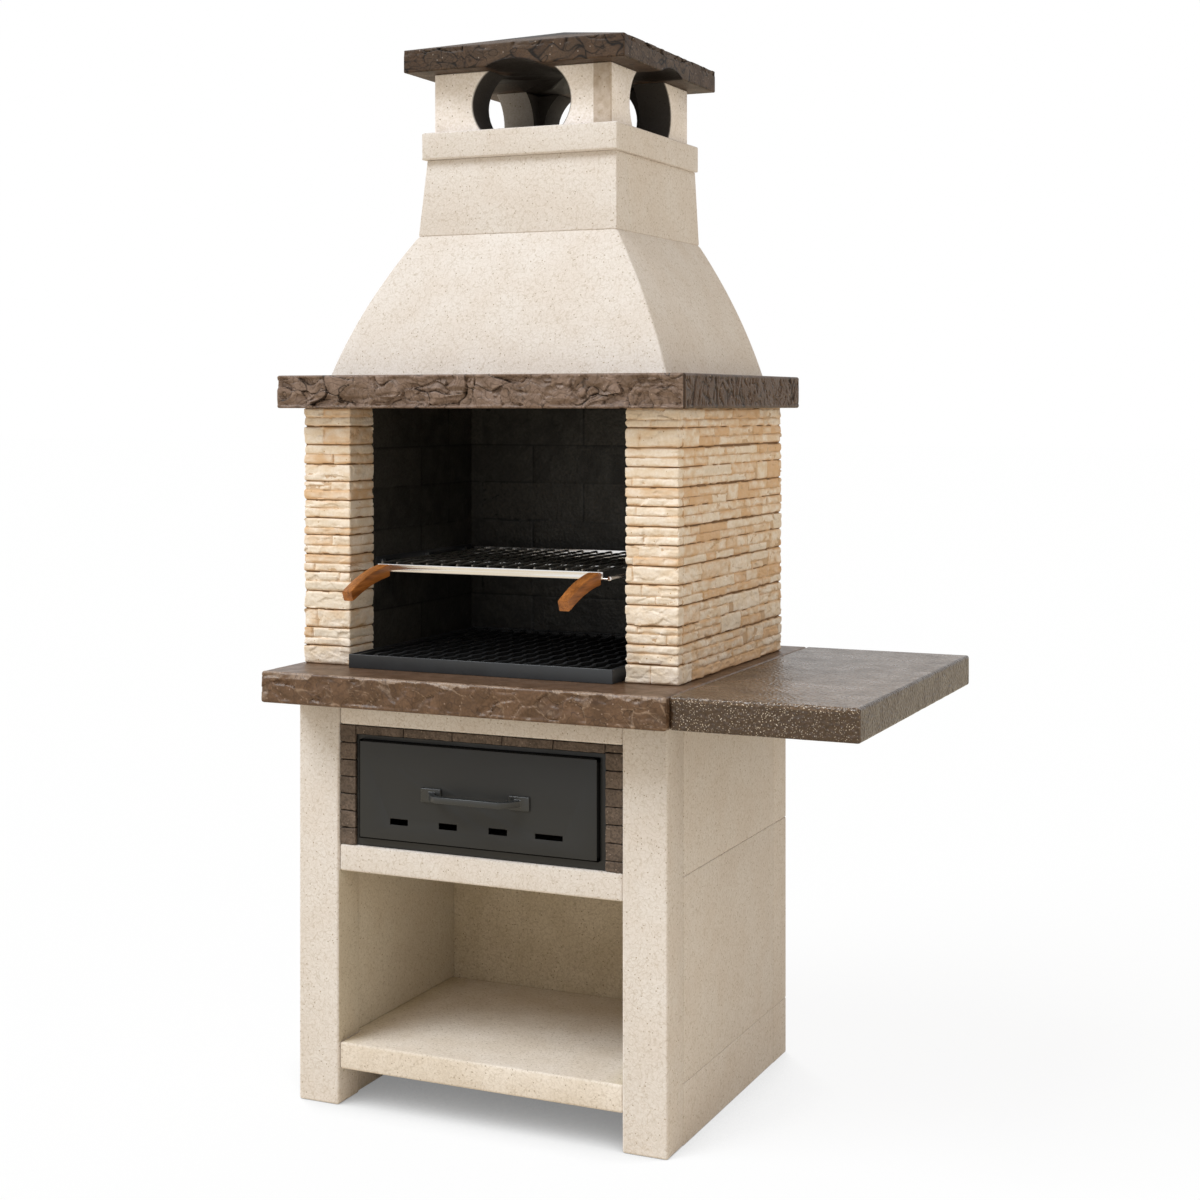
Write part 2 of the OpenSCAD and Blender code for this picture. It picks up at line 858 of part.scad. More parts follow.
module grate_frame() {
  color("#c9ccd0")
  difference() {
    union() {
      block([-bar_front_half, grate_front, bar_z0],
            [bar_front_half, grate_front + flat_thick, bar_z1]);
      block([-bar_half, grate_y1 - flat_thick, bar_z0],
            [bar_half, grate_y1, grate_top + 1]);
      translate([-bar_half, grate_front + cook_rod / 2 + 0.3,
                 rail_top + cook_rod / 2])
      rotate([0, 90, 0])
      cylinder(h = 2 * bar_half, d = cook_rod);
      for (s = [-1, 1])
        rod_y(s * side_rod_x, grate_front, grate_y1, rod_z, frame_rod);
    }
    bolt_bores(bolt_dia + 2 * bolt_fit);
  }
}

module grate_rods() {
  color("#3c3d3e") {
    for (i = [-cook_count : cook_count])
      rod_y(i * rod_pitch, grate_front, grate_y1 - flat_thick,
            cook_z, cook_rod);
    for (y = [0.3, 0.7])
      translate([-side_rod_x + 20, grate_front + y * grate_depth,
                 cook_z - cook_rod + 1])
      rotate([0, 90, 0])
      cylinder(h = 2 * side_rod_x - 40, d = cook_rod);
  }
}

// Side view of the handle as a bent strip, y forward and z up
module grate_handle() {
  n = 10;
  upper = [for (i = [0 : n]) let (t = i / n)
    [-handle_reach * t, 1 - handle_drop * t * t - 14 * t]];
  lower = [for (i = [n : -1 : 0]) let (t = i / n)
    [-(handle_reach - 8) * t,
     1 - handle_height - handle_drop * t * t - 12 * t + 2 * t]];
  color("#a2582a")
  difference() {
    translate([hold_x - handle_width / 2, grate_front, bar_z1])
    rotate([90, 0, 90])
    linear_extrude(height = handle_width)
    polygon(concat(upper, lower));
    bolt_bores(bolt_dia + 2 * bolt_fit);
  }
}

module grate_handle_bolts() {
  color("#b9bcc0")
  for (s = [-1, 1]) {
    rod_y(s * hold_x, grate_front - bolt_length,
          grate_front + flat_thick + 1, bolt_z, bolt_dia);
    rod_y(s * hold_x, grate_front + flat_thick,
          grate_front + flat_thick + bolt_head_thick, bolt_z, bolt_head);
  }
}

module grate_rail() {
  difference() {
    union() {
      block([rail_in, rail_y0, rail_top - rail_sheet],
            [fire_half, rail_y1, rail_top]);
      block([fire_half - rail_sheet, rail_y0, rail_top - rail_sheet],
            [fire_half, rail_y1, rail_top + 22]);
    }
    screws(1, bolt_dia + 2 * bolt_fit);
  }
}

module screws(s, dia) {
  for (y = screw_y)
    translate([s * (fire_half - rail_sheet), y, rail_top + 12])
    rotate([0, s * 90, 0])
    translate([0, 0, -eps])
    cylinder(h = 30 + eps, d = dia);
}

module rail_screws() {
  color("#77797b")
  for (s = [-1, 1]) {
    screws(s, bolt_dia);
    for (y = screw_y)
      translate([s * (fire_half - rail_sheet - 4), y, rail_top + 12])
      rotate([0, s * 90, 0])
      cylinder(h = 4, d = bolt_dia * 1.8);
  }
}

// Ember tray and charcoal grate

module ember_tray() {
  color("#2a2c2e")
  difference() {
    block([-tray_half, tray_front, bench_top],
          [tray_half, tray_y1, tray_top]);
    block([-tray_half + tray_sheet, tray_front + tray_sheet,
           bench_top + tray_sheet],
          [tray_half - tray_sheet, tray_y1 - tray_sheet, tray_top + eps]);
    block([-ash_width / 2 + 10, ash_y0 + 10, bench_top - eps],
          [ash_width / 2 - 10, ash_y0 + ash_depth - 10,
           bench_top + tray_sheet + eps]);
  }
}

module charcoal_grate() {
  floor_z = bench_top + tray_sheet;
  color("#1f1f1f") {
    difference() {
      block([-coal_half, coal_y0, coal_under],
            [coal_half, coal_y1, coal_top]);
      block([-coal_half + coal_width, coal_y0 + coal_width,
             coal_under - eps],
            [coal_half - coal_width, coal_y1 - coal_width,
             coal_top + eps]);
    }
    for (i = [-coal_count : coal_count])
      block([i * coal_pitch - coal_width / 2, coal_y0 + 1, coal_under],
            [i * coal_pitch + coal_width / 2, coal_y1 - 1, coal_top]);
    for (y = [0.33, 0.67])
      block([-coal_half + 1, coal_y0 + y * (coal_y1 - coal_y0), coal_under],
            [coal_half - 1,
             coal_y0 + y * (coal_y1 - coal_y0) + coal_width,
             coal_top - 3]);
    for (x = [-coal_half, coal_half - 14],
         y = [coal_y0, coal_y1 - 14])
      block([x, y, floor_z], [x + 14, y + 14, coal_under + 1]);
  }
}

// Drawing

color("#ddd0be") place() left() leg();  // left_leg
color("#ddd0be") place() leg();  // right_leg
color("#d3c6b2") place() left() plinth_block();  // left_plinth_block
color("#d3c6b2") place() plinth_block();  // right_plinth_block
color("#d6c9b5") place() left() lower_panel();  // left_lower_panel
color("#d6c9b5") place() lower_panel();  // right_lower_panel
color("#d6c9b5") place() left() upper_panel();  // left_upper_panel
color("#d6c9b5") place() upper_panel();  // right_upper_panel
color("#ddd0be") place() left() rear_post();  // left_rear_column
color("#ddd0be") place() rear_post();  // right_rear_column
place() back_panel();
color("#ddd0be") place() shelf(bottom_clear);  // bottom_shelf
color("#ddd0be") place() shelf(middle_under);  // middle_shelf
place() apron_beam();
color("#4b4038") place() left() surround_side(0);  // surround_left
color("#4b4038") place() surround_side(13);  // surround_right
place() surround_top();
place() drawer_frame();
color("#6d6f71") place() left() drawer_rail();  // drawer_rail_left
color("#6d6f71") place() drawer_rail();  // drawer_rail_right
place() drawer_box();
place() drawer_front();
place() drawer_handle();
place() bench_slab();
place() side_shelf();
place() side_shelf_dowels();
color("#c8bba6") place() left() wall_core();  // left_wall_core
color("#c8bba6") place() wall_core();  // right_wall_core
color("#e6d2ae") place() left() front_stones(20);  // left_front_stones
color("#e6d2ae") place() front_stones(3);  // right_front_stones
color("#dcc49c") place() left() side_stones(31);  // left_side_stones
color("#dcc49c") place() side_stones(4);  // right_side_stones
color("#1d1d1c") place() left() lining_side();  // firebox_left_lining
color("#1d1d1c") place() lining_side();  // firebox_right_lining
place() firebox_rear_lining();
place() firebox_rear_wall();
place() lintel_slab();
place() smoke_hood();
place() neck_front_block();
place() neck_rear_block();
place() collar_slab();
place() crown_posts();
place() cap_slab();
place() grate_frame();
place() grate_rods();
place() left() grate_handle();  // left_grate_handle
place() grate_handle();  // right_grate_handle
place() grate_handle_bolts();
color("#4a4c4e") place() left() grate_rail();  // grate_rail_left
color("#4a4c4e") place() grate_rail();  // grate_rail_right
place() rail_screws();
place() ember_tray();
place() charcoal_grate();
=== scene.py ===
"""Masonry barbecue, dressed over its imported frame.

Lengths are millimetres in the base frame while a piece is worked out: x 0 is
the middle of the two legs, y 0 the front of the legs, z 0 the floor, the cook
stands at -y.  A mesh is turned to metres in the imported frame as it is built.
"""

import itertools
import logging
import math
from collections.abc import Callable
from dataclasses import dataclass, field, replace
from enum import Enum
from functools import cached_property
from typing import ClassVar

import bmesh
import bpy
import numpy as np
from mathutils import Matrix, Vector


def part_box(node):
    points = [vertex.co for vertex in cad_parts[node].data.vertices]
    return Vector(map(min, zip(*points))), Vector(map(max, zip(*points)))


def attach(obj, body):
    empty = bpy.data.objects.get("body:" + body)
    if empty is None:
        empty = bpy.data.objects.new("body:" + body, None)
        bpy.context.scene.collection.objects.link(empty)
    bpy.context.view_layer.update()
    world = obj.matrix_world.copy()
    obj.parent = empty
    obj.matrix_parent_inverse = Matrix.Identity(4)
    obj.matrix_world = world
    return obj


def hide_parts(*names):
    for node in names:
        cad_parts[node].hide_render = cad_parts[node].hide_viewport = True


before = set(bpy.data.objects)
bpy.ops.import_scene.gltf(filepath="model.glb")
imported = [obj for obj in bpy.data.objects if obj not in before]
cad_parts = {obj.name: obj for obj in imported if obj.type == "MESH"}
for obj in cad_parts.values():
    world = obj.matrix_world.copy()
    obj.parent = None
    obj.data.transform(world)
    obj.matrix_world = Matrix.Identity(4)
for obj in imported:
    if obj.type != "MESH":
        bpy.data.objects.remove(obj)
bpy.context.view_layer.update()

LOG = logging.getLogger("barbecue")
Array = np.ndarray
Socket = bpy.types.NodeSocket
Relief = tuple[Array, Array, Array]


# Places and the base frame


@dataclass(frozen=True)
class Block:
    """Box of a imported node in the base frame, in millimetres."""

    lo: Array
    hi: Array

    @property
    def size(self) -> Array:
        """Length along each axis."""
        return self.hi - self.lo

    @property
    def mid(self) -> Array:
        """Middle of the box."""
        return (self.hi + self.lo) / 2


def base_origin() -> Array:
    """Place of the base frame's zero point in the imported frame, in metres."""
    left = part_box("left_leg")[0]
    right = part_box("right_leg")[1]
    return np.array([(left.x + right.x) / 2, left.y, 0.0])


ORIGIN = base_origin()


def block_of(node: str) -> Block:
    """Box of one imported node.

    Args:
        node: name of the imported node.

    Returns:
        The node's box in the base frame.
    """
    lo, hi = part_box(node)
    return Block((np.array(lo) - ORIGIN) * 1000, (np.array(hi) - ORIGIN) * 1000)


def to_linear(code: str) -> tuple[float, float, float, float]:
    """Turns an sRGB hex colour to linear light.

    Args:
        code: colour as "#RRGGBB".

    Returns:
        Linear red, green, blue and an alpha of 1.
    """
    value = np.array([int(code[i : i + 2], 16) / 255 for i in (1, 3, 5)])
    low = value / 12.92
    high = ((value + 0.055) / 1.055) ** 2.4
    return (*(float(c) for c in np.where(value <= 0.04045, low, high)), 1.0)


# Noise on arrays

HASH_PRIMES = (73856093, 19349663, 83492791)
HASH_SEED, HASH_FACTOR, HASH_SHIFT = 374761393, 668265263, 1013904223
HASH_MASK, VALUE_MASK = 0xFFFFFFFF, 0xFFFFFF


def lattice_value(cell: Array, seed: int) -> Array:
    """Repeatable number from 0 to 1 for each whole-number cell.

    Args:
        cell: whole numbers, one cell on the last axis.
        seed: picks another set of numbers.

    Returns:
        One number for each cell.
    """
    mixed = np.full(cell.shape[:-1], (seed * HASH_SEED) & HASH_MASK, np.int64)
    for k, prime in zip(range(cell.shape[-1]), HASH_PRIMES):
        mixed = (mixed ^ (cell[..., k].astype(np.int64) * prime)) & HASH_MASK
        mixed = (mixed * HASH_FACTOR + HASH_SHIFT) & HASH_MASK
        mixed = mixed ^ (mixed >> 15)
    return (mixed & VALUE_MASK) / float(VALUE_MASK)


def smooth_noise(place: Array, size: float, seed: int) -> Array:
    """Smooth noise from -1 to 1: lattice numbers blended by s*s*(3-2s).

    Args:
        place: points on the last axis, 2 or 3 numbers each.
        size: length of one lattice cell, in the unit of the points.
        seed: picks another noise.

    Returns:
        One number for each point.
    """
    scaled = place / size
    cell = np.floor(scaled)
    part = scaled - cell
    part = part * part * (3 - 2 * part)
    total = np.zeros(place.shape[:-1])
    for corner in itertools.product((0, 1), repeat=place.shape[-1]):
        step = np.array(corner)
        weight = np.prod(np.where(step == 1, part, 1 - part), axis=-1)
        total += weight * lattice_value(cell + step, seed)
    return total * 2 - 1


def layered_noise(place: Array, size: float, seed: int, layers: int = 3) -> Array:
    """Sum of smooth noises, each half the size and half the height.

    Args:
        place: points on the last axis.
        size: cell length of the first layer.
        seed: picks another noise.
        layers: how many noises are added.

    Returns:
        One number for each point.
    """
    return sum(
        smooth_noise(place, size / 2**k, seed + 31 * k) / 2**k for k in range(layers)
    )


@dataclass
class Plates:
    """Broken plates over a surface, from the nearest two of scattered centres."""

    rim: Array
    tone: Array
    slope: Array

    @classmethod
    def scatter(cls, place: Array, size: float, seed: int) -> "Plates":
        """Finds for each point its plate.

        The rim is the second distance less the first, the slope a tilt whose
        direction is the plate's own.

        Args:
            place: points with two numbers on the last axis.
            size: mean width of a plate.
            seed: picks another scatter.

        Returns:
            Distance to the plate's rim, its tone and its tilt at each point.
        """
        scaled = place / size
        cell = np.floor(scaled)
        first = np.full(place.shape[:-1], 9.0)
        second = first.copy()
        tone = np.zeros_like(first)
        slope = np.zeros_like(first)
        for step in itertools.product((-1, 0, 1), repeat=2):
            near = cell + np.array(step)
            jitter = np.stack(
                [lattice_value(near, seed + k) - 0.5 for k in (1, 2)], axis=-1
            )
            away = scaled - (near + 0.5 + 0.86 * jitter)
            span = np.hypot(away[..., 0], away[..., 1])
            closer = span < first
            turn = lattice_value(near, seed + 3) * 2 * np.pi
            lean = away[..., 0] * np.cos(turn) + away[..., 1] * np.sin(turn)
            second = np.where(closer, first, np.minimum(second, span))
            tone = np.where(closer, lattice_value(near, seed + 4), tone)
            slope = np.where(closer, lean, slope)
            first = np.where(closer, span, first)
        return cls((second - first) * size, tone, slope)


# Meshes

MERGED_M, DEGENERATE_M = 2e-6, 1e-6
STONE_SHARP, ROCK_SHARP = 60.0, 70.0


@dataclass
class Shell:
    """Vertices and faces of one piece before it becomes a mesh."""

    points: list[Array] = field(default_factory=list)
    tones: list[Array] = field(default_factory=list)
    cracks: list[Array] = field(default_factory=list)
    faces: list[list[int]] = field(default_factory=list)
    count: int = 0

    def lay(
        self, place: Array, tone: Array | float = 0.5, crack: Array | float = 0.0
    ) -> Array:
        """Adds a grid of points.

        Args:
            place: grid of points, rows by columns by 3.
            tone: number from 0 to 1 that the finish colours by.
            crack: 1 at the bottom of a crack or joint, 0 on the open face.

        Returns:
            The grid of vertex numbers.
        """
        rows, columns = place.shape[:2]
        self.points.append(place.reshape(-1, 3))
        for kept, value in ((self.tones, tone), (self.cracks, crack)):
            kept.append(np.broadcast_to(value, (rows, columns)).reshape(-1))
        ids = self.count + np.arange(rows * columns).reshape(rows, columns)
        self.count += rows * columns
        return ids

    def skin(self, ids: Array, wrap: bool = False) -> None:
        """Joins a grid of vertex numbers by quads.

        Args:
            ids: grid of vertex numbers.
            wrap: joins the last column to the first.
        """
        if wrap:
            ids = np.concatenate([ids, ids[:, :1]], axis=1)
        quads = np.stack([ids[:-1, :-1], ids[:-1, 1:], ids[1:, 1:], ids[1:, :-1]], -1)
        self.faces.extend(quads.reshape(-1, 4).tolist())

    def lid(self, ring: Array) -> None:
        """Closes a ring of vertex numbers by one flat face."""
        self.faces.append(ring.tolist())

    def mesh(
        self, name: str, sharp: float = 40.0, mirror: bool = False
    ) -> bpy.types.Mesh:
        """Builds the mesh: metres, doubles merged, faces outwards.

        Args:
            name: name of the mesh.
            sharp: edges that turn by more degrees than this stay sharp.
            mirror: True for a left-hand twin.

        Returns:
            The mesh.
        """
        place = np.concatenate(self.points) * ((-1, 1, 1) if mirror else 1)
        made = bpy.data.meshes.new(name)
        made.from_pydata(place / 1000 + ORIGIN, [], self.faces)
        for label, parts in (("tone", self.tones), ("crack", self.cracks)):
            layer = made.attributes.new(label, "FLOAT", "POINT")
            layer.data.foreach_set("value", np.concatenate(parts).astype(np.float32))
        work = bmesh.new()
        work.from_mesh(made)
        bmesh.ops.remove_doubles(work, verts=work.verts[:], dist=MERGED_M)
        bmesh.ops.dissolve_degenerate(work, edges=work.edges[:], dist=DEGENERATE_M)
        bmesh.ops.recalc_face_normals(work, faces=work.faces[:])
        work.to_mesh(made)
        work.free()
        made.polygons.foreach_set("use_smooth", np.ones(len(made.polygons), bool))
        made.set_sharp_from_angle(angle=math.radians(sharp))
        return made


def ring(
    lo: Array, hi: Array, radius: float, counts: tuple[int, int], turn: int = 6
) -> tuple[Array, Array]:
    """Outline of a rectangle with round corners, seen from above.

    It runs left side, front, right side, back; each corner is a quarter circle.

    Args:
        lo: lowest x and y.
        hi: highest x and y.
        radius: corner radius.
        counts: points along the front and along a side.
        turn: points in a corner.

    Returns:
        The points and their outward directions, n by 2 each.
    """
    centres = [
        (lo[0] + radius, lo[1] + radius),
        (hi[0] - radius, lo[1] + radius),
        (hi[0] - radius, hi[1] - radius),
        (lo[0] + radius, hi[1] - radius),
    ]
    places, outs = [], []
    for k, start in enumerate((180, 270, 0, 90)):
        before, here = np.array(centres[k - 1]), np.array(centres[k])
        bearing = math.radians(start)
        out = np.array([math.cos(bearing), math.sin(bearing)])
        part = np.linspace(0, 1, counts[(k + 1) % 2], endpoint=False)[:, None]
        places.append(before + (here - before) * part + out * radius)
        outs.append(np.broadcast_to(out, places[-1].shape))
        angle = np.radians(start + np.linspace(0, 90, turn, endpoint=False))
        arc = np.stack([np.cos(angle), np.sin(angle)], -1)
        places.append(here + arc * radius)
        outs.append(arc)
    return np.concatenate(places), np.concatenate(outs)


def round_box(lo: Array, hi: Array, radius: float, pitch: float) -> Shell:
    """Box with round edges: each point of the inner box grown by the radius.

    Args:
        lo: lowest corner.
        hi: highest corner.
        radius: radius of the edges.
        pitch: distance between grid lines on the flat part.

    Returns:
        The closed shell, whose points still lie on six separate grids.
    """
    shell = Shell()
    lines = []
    for a, b in zip(lo, hi):
        bend = radius * (1 - np.tan(np.radians([45, 30, 15])))
        flat = np.linspace(a + radius, b - radius, max(2, round((b - a) / pitch)))
        lines.append(np.concatenate([a + bend, flat, (b - bend)[::-1]]))
    for axis, end in itertools.product(range(3), (0, 1)):
        one, two = [k for k in range(3) if k != axis]
        grid = np.empty((len(lines[one]), len(lines[two]), 3))
        grid[..., one] = lines[one][:, None]
        grid[..., two] = lines[two][None, :]
        grid[..., axis] = hi[axis] if end else lo[axis]
        core = np.clip(grid, lo + radius, hi - radius)
        away = grid - core
        away /= np.linalg.norm(away, axis=-1, keepdims=True)
        shell.skin(shell.lay(core + away * radius))
    return shell


def sweep(path: Array, section: Array, side: Array, grow: Array | float = 1.0) -> Shell:
    """Carries a closed section along a path and closes both ends.

    Each station stands across the path's direction; its first axis is the
    given side, its second the cross product of the direction and the side.

    Args:
        path: stations, n by 3.
        section: outline, m by 2.
        side: direction of the section's first axis.
        grow: scale of the section at each station.

    Returns:
        The closed shell.
    """
    ahead = np.gradient(path, axis=0)
    ahead /= np.linalg.norm(ahead, axis=1, keepdims=True)
    first = side - ahead * (ahead @ side)[:, None]
    first /= np.linalg.norm(first, axis=1, keepdims=True)
    second = np.cross(ahead, first)
    scale = np.broadcast_to(grow, len(path))[:, None, None]
    place = path[:, None, :] + scale * (
        section[None, :, :1] * first[:, None, :]
        + section[None, :, 1:] * second[:, None, :]
    )
    shell = Shell()
    ids = shell.lay(place)
    shell.skin(ids, wrap=True)
    shell.lid(ids[0])
    shell.lid(ids[-1])
    return shell


def circle(radius: float, sides: int = 8) -> Array:
    """Outline of a round bar."""
    angle = np.arange(sides) / sides * 2 * np.pi
    return radius * np.stack([np.cos(angle), np.sin(angle)], -1)


def soft_square(width: float, height: float, radius: float) -> Array:
    """Outline of a bar whose corners are rounded."""
    half = np.array([width, height]) / 2
    return ring(-half, half, radius, (2, 2), 3)[0]


def join(shells: list[Shell]) -> Shell:
    """Puts separate shells into one.

    Args:
        shells: the shells, in order.

    Returns:
        One shell with all their points and faces.
    """
    whole = Shell()
    for shell in shells:
        whole.points += shell.points
        whole.tones += shell.tones
        whole.cracks += shell.cracks
        whole.faces += [[i + whole.count for i in face] for face in shell.faces]
        whole.count += shell.count
    return whole


# Finishes


@dataclass(frozen=True)
class SmokeHole:
    """Oval smoke holes of the chimney top, what smoke and rain left there, and painted
    shade.

    The oval's middle, half width and half height, and the posts' wall.  In the
    cap the same oval lies lower by the drop.  Soot and painted shade start
    behind the inner face, daylight reaches the lit part of the far rims, and
    the scar has a width and a depth.
    """

    level: float = 1956.0
    half: float = 107.0
    tall: float = 88.0
    wall: float = 72.0
    drop: float = 8.0
    behind: float = 1.2
    lit: tuple[float, float, float] = (100.0, 20.0, 115.0)
    scar: tuple[float, float] = (37.0, 4.0)


@dataclass(frozen=True)
class Niche:
    """Inside of the storage niche: its reach, and where the painted shade on its side
    faces begins.
    """

    half: float = 307.5
    low: float = 121.5
    high: float = 456.5
    front: float = 3.0
    shade_reach: tuple[float, float] = (250.0, 300.0)


class Slot(Enum):
    """Material slots: what kind of material each finish is."""

    CAST = "cast_stone"
    BENCH = "bench_stone"
    SHELF = "shelf_stone"
    LINTEL = "lintel_stone"
    CAP = "cap_stone"
    LEDGE = "ledge_stone"
    BRICK = "dark_brick"
    FIRE = "firebrick"
    CONCRETE = "light_concrete"
    PAINT = "painted_steel"
    BLACK = "black_steel"
    ZINC = "zinc_steel"
    CHROME = "grate_chrome"
    IRON = "grate_iron"
    COAL = "coal_iron"
    WOOD = "handle_wood"


class Sheet:
    """Node tree of a material or of the world."""

    def __init__(self, owner: bpy.types.Material | bpy.types.World) -> None:
        """Empties the tree.

        Args:
            owner: material or world whose nodes are made.
        """
        owner.use_nodes = True
        self.tree = owner.node_tree
        self.tree.nodes.clear()

    @cached_property
    def place(self) -> Socket:
        """Object coordinates."""
        return self.add("TexCoord", out="Object")

    def add(
        self, kind: str, inputs: dict | tuple = (), out: int | str = 0, **settings
    ) -> Socket | None:
        """Adds one node.

        Args:
            kind: Blender's name of the node type, less its "ShaderNode".
            inputs: a value, or a socket to link, for each named socket or for
                the first sockets in order.
            out: name or number of the output that is wanted.
            settings: the node's own properties.

        Returns:
            That output, or None for a node that has none.
        """
        node = self.tree.nodes.new(f"ShaderNode{kind}")
        for key, value in settings.items():
            setattr(node, key, value)
        named = inputs if isinstance(inputs, dict) else dict(enumerate(inputs))
        for key, value in named.items():
            if isinstance(value, Socket):
                self.tree.links.new(value, node.inputs[key])
            else:
                node.inputs[key].default_value = value
        return node.outputs[out] if len(node.outputs) else None


@dataclass(frozen=True)
class Finish:
    """A material with its slot; made once, then shared."""

    name: str
    slot: Slot

    def build(self, sheet: Sheet) -> Socket:
        """Adds the nodes and returns the shader; each kind has its own way."""
        raise NotImplementedError

    def material(self) -> bpy.types.Material:
        """The material, which the first use makes.

        Returns:
            The material.
        """
        made = bpy.data.materials.get(self.name)
        if made is None:
            made = bpy.data.materials.new(self.name)
            sheet = Sheet(made)
            sheet.add("OutputMaterial", {"Surface": self.build(sheet)})
        return made


@dataclass(frozen=True)
class Mineral(Finish):
    """Cast stone, split stone, brick and firebrick.

    A cloud of pale and deep colour, a stain by the mesh's tone, a grain,
    sparse specks, thin winding veins along the contour lines of a noise, and
    a seam and a crack colour by the mesh's crack attribute.
    """

    pale: str = "#DDD0BE"
    deep: str = "#CFC1AC"
    stain: str = "#CFC1AC"
    stain_share: float = 0.0
    stain_from: float = 0.95
    stain_to: float = 1.4
    # cool_and_shade: the stones' own greyer tone on split stone; on the lintel's and
    # the side shelf's right faces, where the tone is 0, it is painted shade.
    cool_and_shade: str = "#CFC1AC"
    cool_and_shade_share: float = 0.0
    grain: str = "#B3A48E"
    grain_mm: float = 3.0
    grain_share: float = 0.35
    speck: str = "#8E7F6B"
    speck_mm: float = 9.0
    speck_size: float = 0.16
    worm: str = "#8E7F6B"
    worm_mm: float = 14.0
    worm_width: float = 0.03
    worm_rings: float = 1.0
    worm_share: float = 0.0
    seam: str = "#B98F60"
    seam_share: float = 0.0
    crack: str = "#5A4A38"
    crack_from: float = 0.1
    crack_share: float = 0.0
    cloud_mm: float = 90.0
    stretch: tuple[float, float, float] = (1.0, 1.0, 1.0)
    roughness: float = 0.85
    spread: float = 0.05
    bump_mm: float = 0.35
    dimple_mm: float = 0.0
    dimple_depth: float = 0.5
    specular: float = 0.35
    # soot_and_shade: dark colour inside the smoke holes, soot and painted shade,
    # lighter where daylight reaches the far rims.
    soot_and_shade: str = ""
    scar: str = "#957A55"
    glitter: bool = False
    # niche_shade: warm colour multiplied over the niche's side faces, painted shade.
    niche_shade: str = ""

    def soot_and_shade_share(self, sheet: Sheet, winding: Socket) -> tuple[Socket, Socket]:
        """Soot and painted shade inside the chimney top, and a scar down the near
        post's front.

        An oval's edge is where (off / half)^2 + (level / tall)^2 is 1.  The
        far rims, which daylight reaches, are less black.  The scar is a strip
        of the front face before its right-hand corner, on the posts alone.

        Args:
            sheet: the material's sheet.
            winding: noise that blotches the scar.

        Returns:
            Share of soot and painted shade, and share of scar.
        """
        crown = block_of("crown_posts")
        mid = (crown.mid / 1000 + ORIGIN).tolist()
        half = (crown.size / 2000).tolist()
        level = SmokeHole.level - (SmokeHole.drop if self.slot is Slot.CAP else 0.0)
        steps = [
            ("rise", "SUBTRACT", "z", level / 1000),
            ("rise", "DIVIDE", "rise", SmokeHole.tall / 1000),
            ("rise", "MULTIPLY", "rise", "rise"),
        ]
        for k, axis in enumerate("xy"):
            off, span, depth = (f"{word}_{axis}" for word in ("off", "span", "depth"))
            inner = crown.size[k] / 2 - SmokeHole.wall + SmokeHole.behind
            steps += [
                (off, "SUBTRACT", axis, mid[k]),
                (span, "DIVIDE", off, SmokeHole.half / 1000),
                (span, "MULTIPLY", span, span),
                (span, "ADD", span, "rise"),
                (span, "SQRT", span, 0.0),
                (depth, "ABSOLUTE", off, 0.0),
                (depth, "DIVIDE", depth, float(inner) / 1000),
            ]
        x0, y0, y1 = (edge / 1000 for edge in SmokeHole.lit)
        strip, skin = SmokeHole.scar[0] / 1000, SmokeHole.scar[1] / 1000
        steps += [
            ("near", "MINIMUM", "span_x", "span_y"),
            ("inside", "MAXIMUM", "depth_x", "depth_y"),
            ("edge", "MINIMUM", "near", "inside"),
            ("far", "LESS_THAN", "off_x", x0),
            ("limit", "GREATER_THAN", "off_y", y0),
            ("far", "MULTIPLY", "far", "limit"),
            ("limit", "GREATER_THAN", "inside", 1.0),
            ("far", "MULTIPLY", "far", "limit"),
            ("limit", "LESS_THAN", "off_y", y1),
            ("far", "MULTIPLY", "far", "limit"),
            ("far", "MULTIPLY", "far", 0.3),
            ("unlit", "SUBTRACT", 1.0, "far"),
            ("scar", "GREATER_THAN", "off_x", half[0] - strip),
            ("limit", "LESS_THAN", "off_y", skin - half[1]),
            ("scar", "MULTIPLY", "scar", "limit"),
            ("scar", "MULTIPLY", "scar", 0.7 if self.slot is Slot.CAST else 0.0),
        ]
        axes = sheet.add("SeparateXYZ", (sheet.place,)).node.outputs
        known = dict(zip("xyz", axes))
        for name, kind, one, two in steps:
            pair = known.get(one, one), known.get(two, two)
            known[name] = sheet.add("Math", pair, operation=kind)
        sooty_shade = known["edge"], 1.0, 1.035, 0.97, 0.0
        blotch = winding, 0.3, 0.7, 0.6, 0.95
        return tuple(
            sheet.add(
                "Math", (known[name], sheet.add("MapRange", ramp)), operation="MULTIPLY"
            )
            for name, ramp in (("unlit", sooty_shade), ("scar", blotch))
        )

    def niche_shade_share(self, sheet: Sheet) -> Socket:
        """Share of painted warm shade: rises to 1 towards the niche's side faces.

        Args:
            sheet: the material's sheet.

        Returns:
            The share, 0 outside the niche.
        """
        x, y, z = sheet.add("SeparateXYZ", (sheet.place,)).node.outputs
        off = sheet.add("Math", (x, float(ORIGIN[0])), operation="SUBTRACT")
        off = sheet.add("Math", (off,), operation="ABSOLUTE")
        start, end = (edge / 1000 for edge in Niche.shade_reach)
        share = sheet.add("MapRange", (off, start, end, 0.0, 1.0))
        front = float(ORIGIN[1]) + Niche.front / 1000
        for value, kind, limit in ((off, "LESS_THAN", Niche.half / 1000),
                                   (y, "GREATER_THAN", front),
                                   (z, "LESS_THAN", Niche.high / 1000),
                                   (z, "GREATER_THAN", Niche.low / 1000)):
            within = sheet.add("Math", (value, limit), operation=kind)
            share = sheet.add("Math", (share, within), operation="MULTIPLY")
        return share

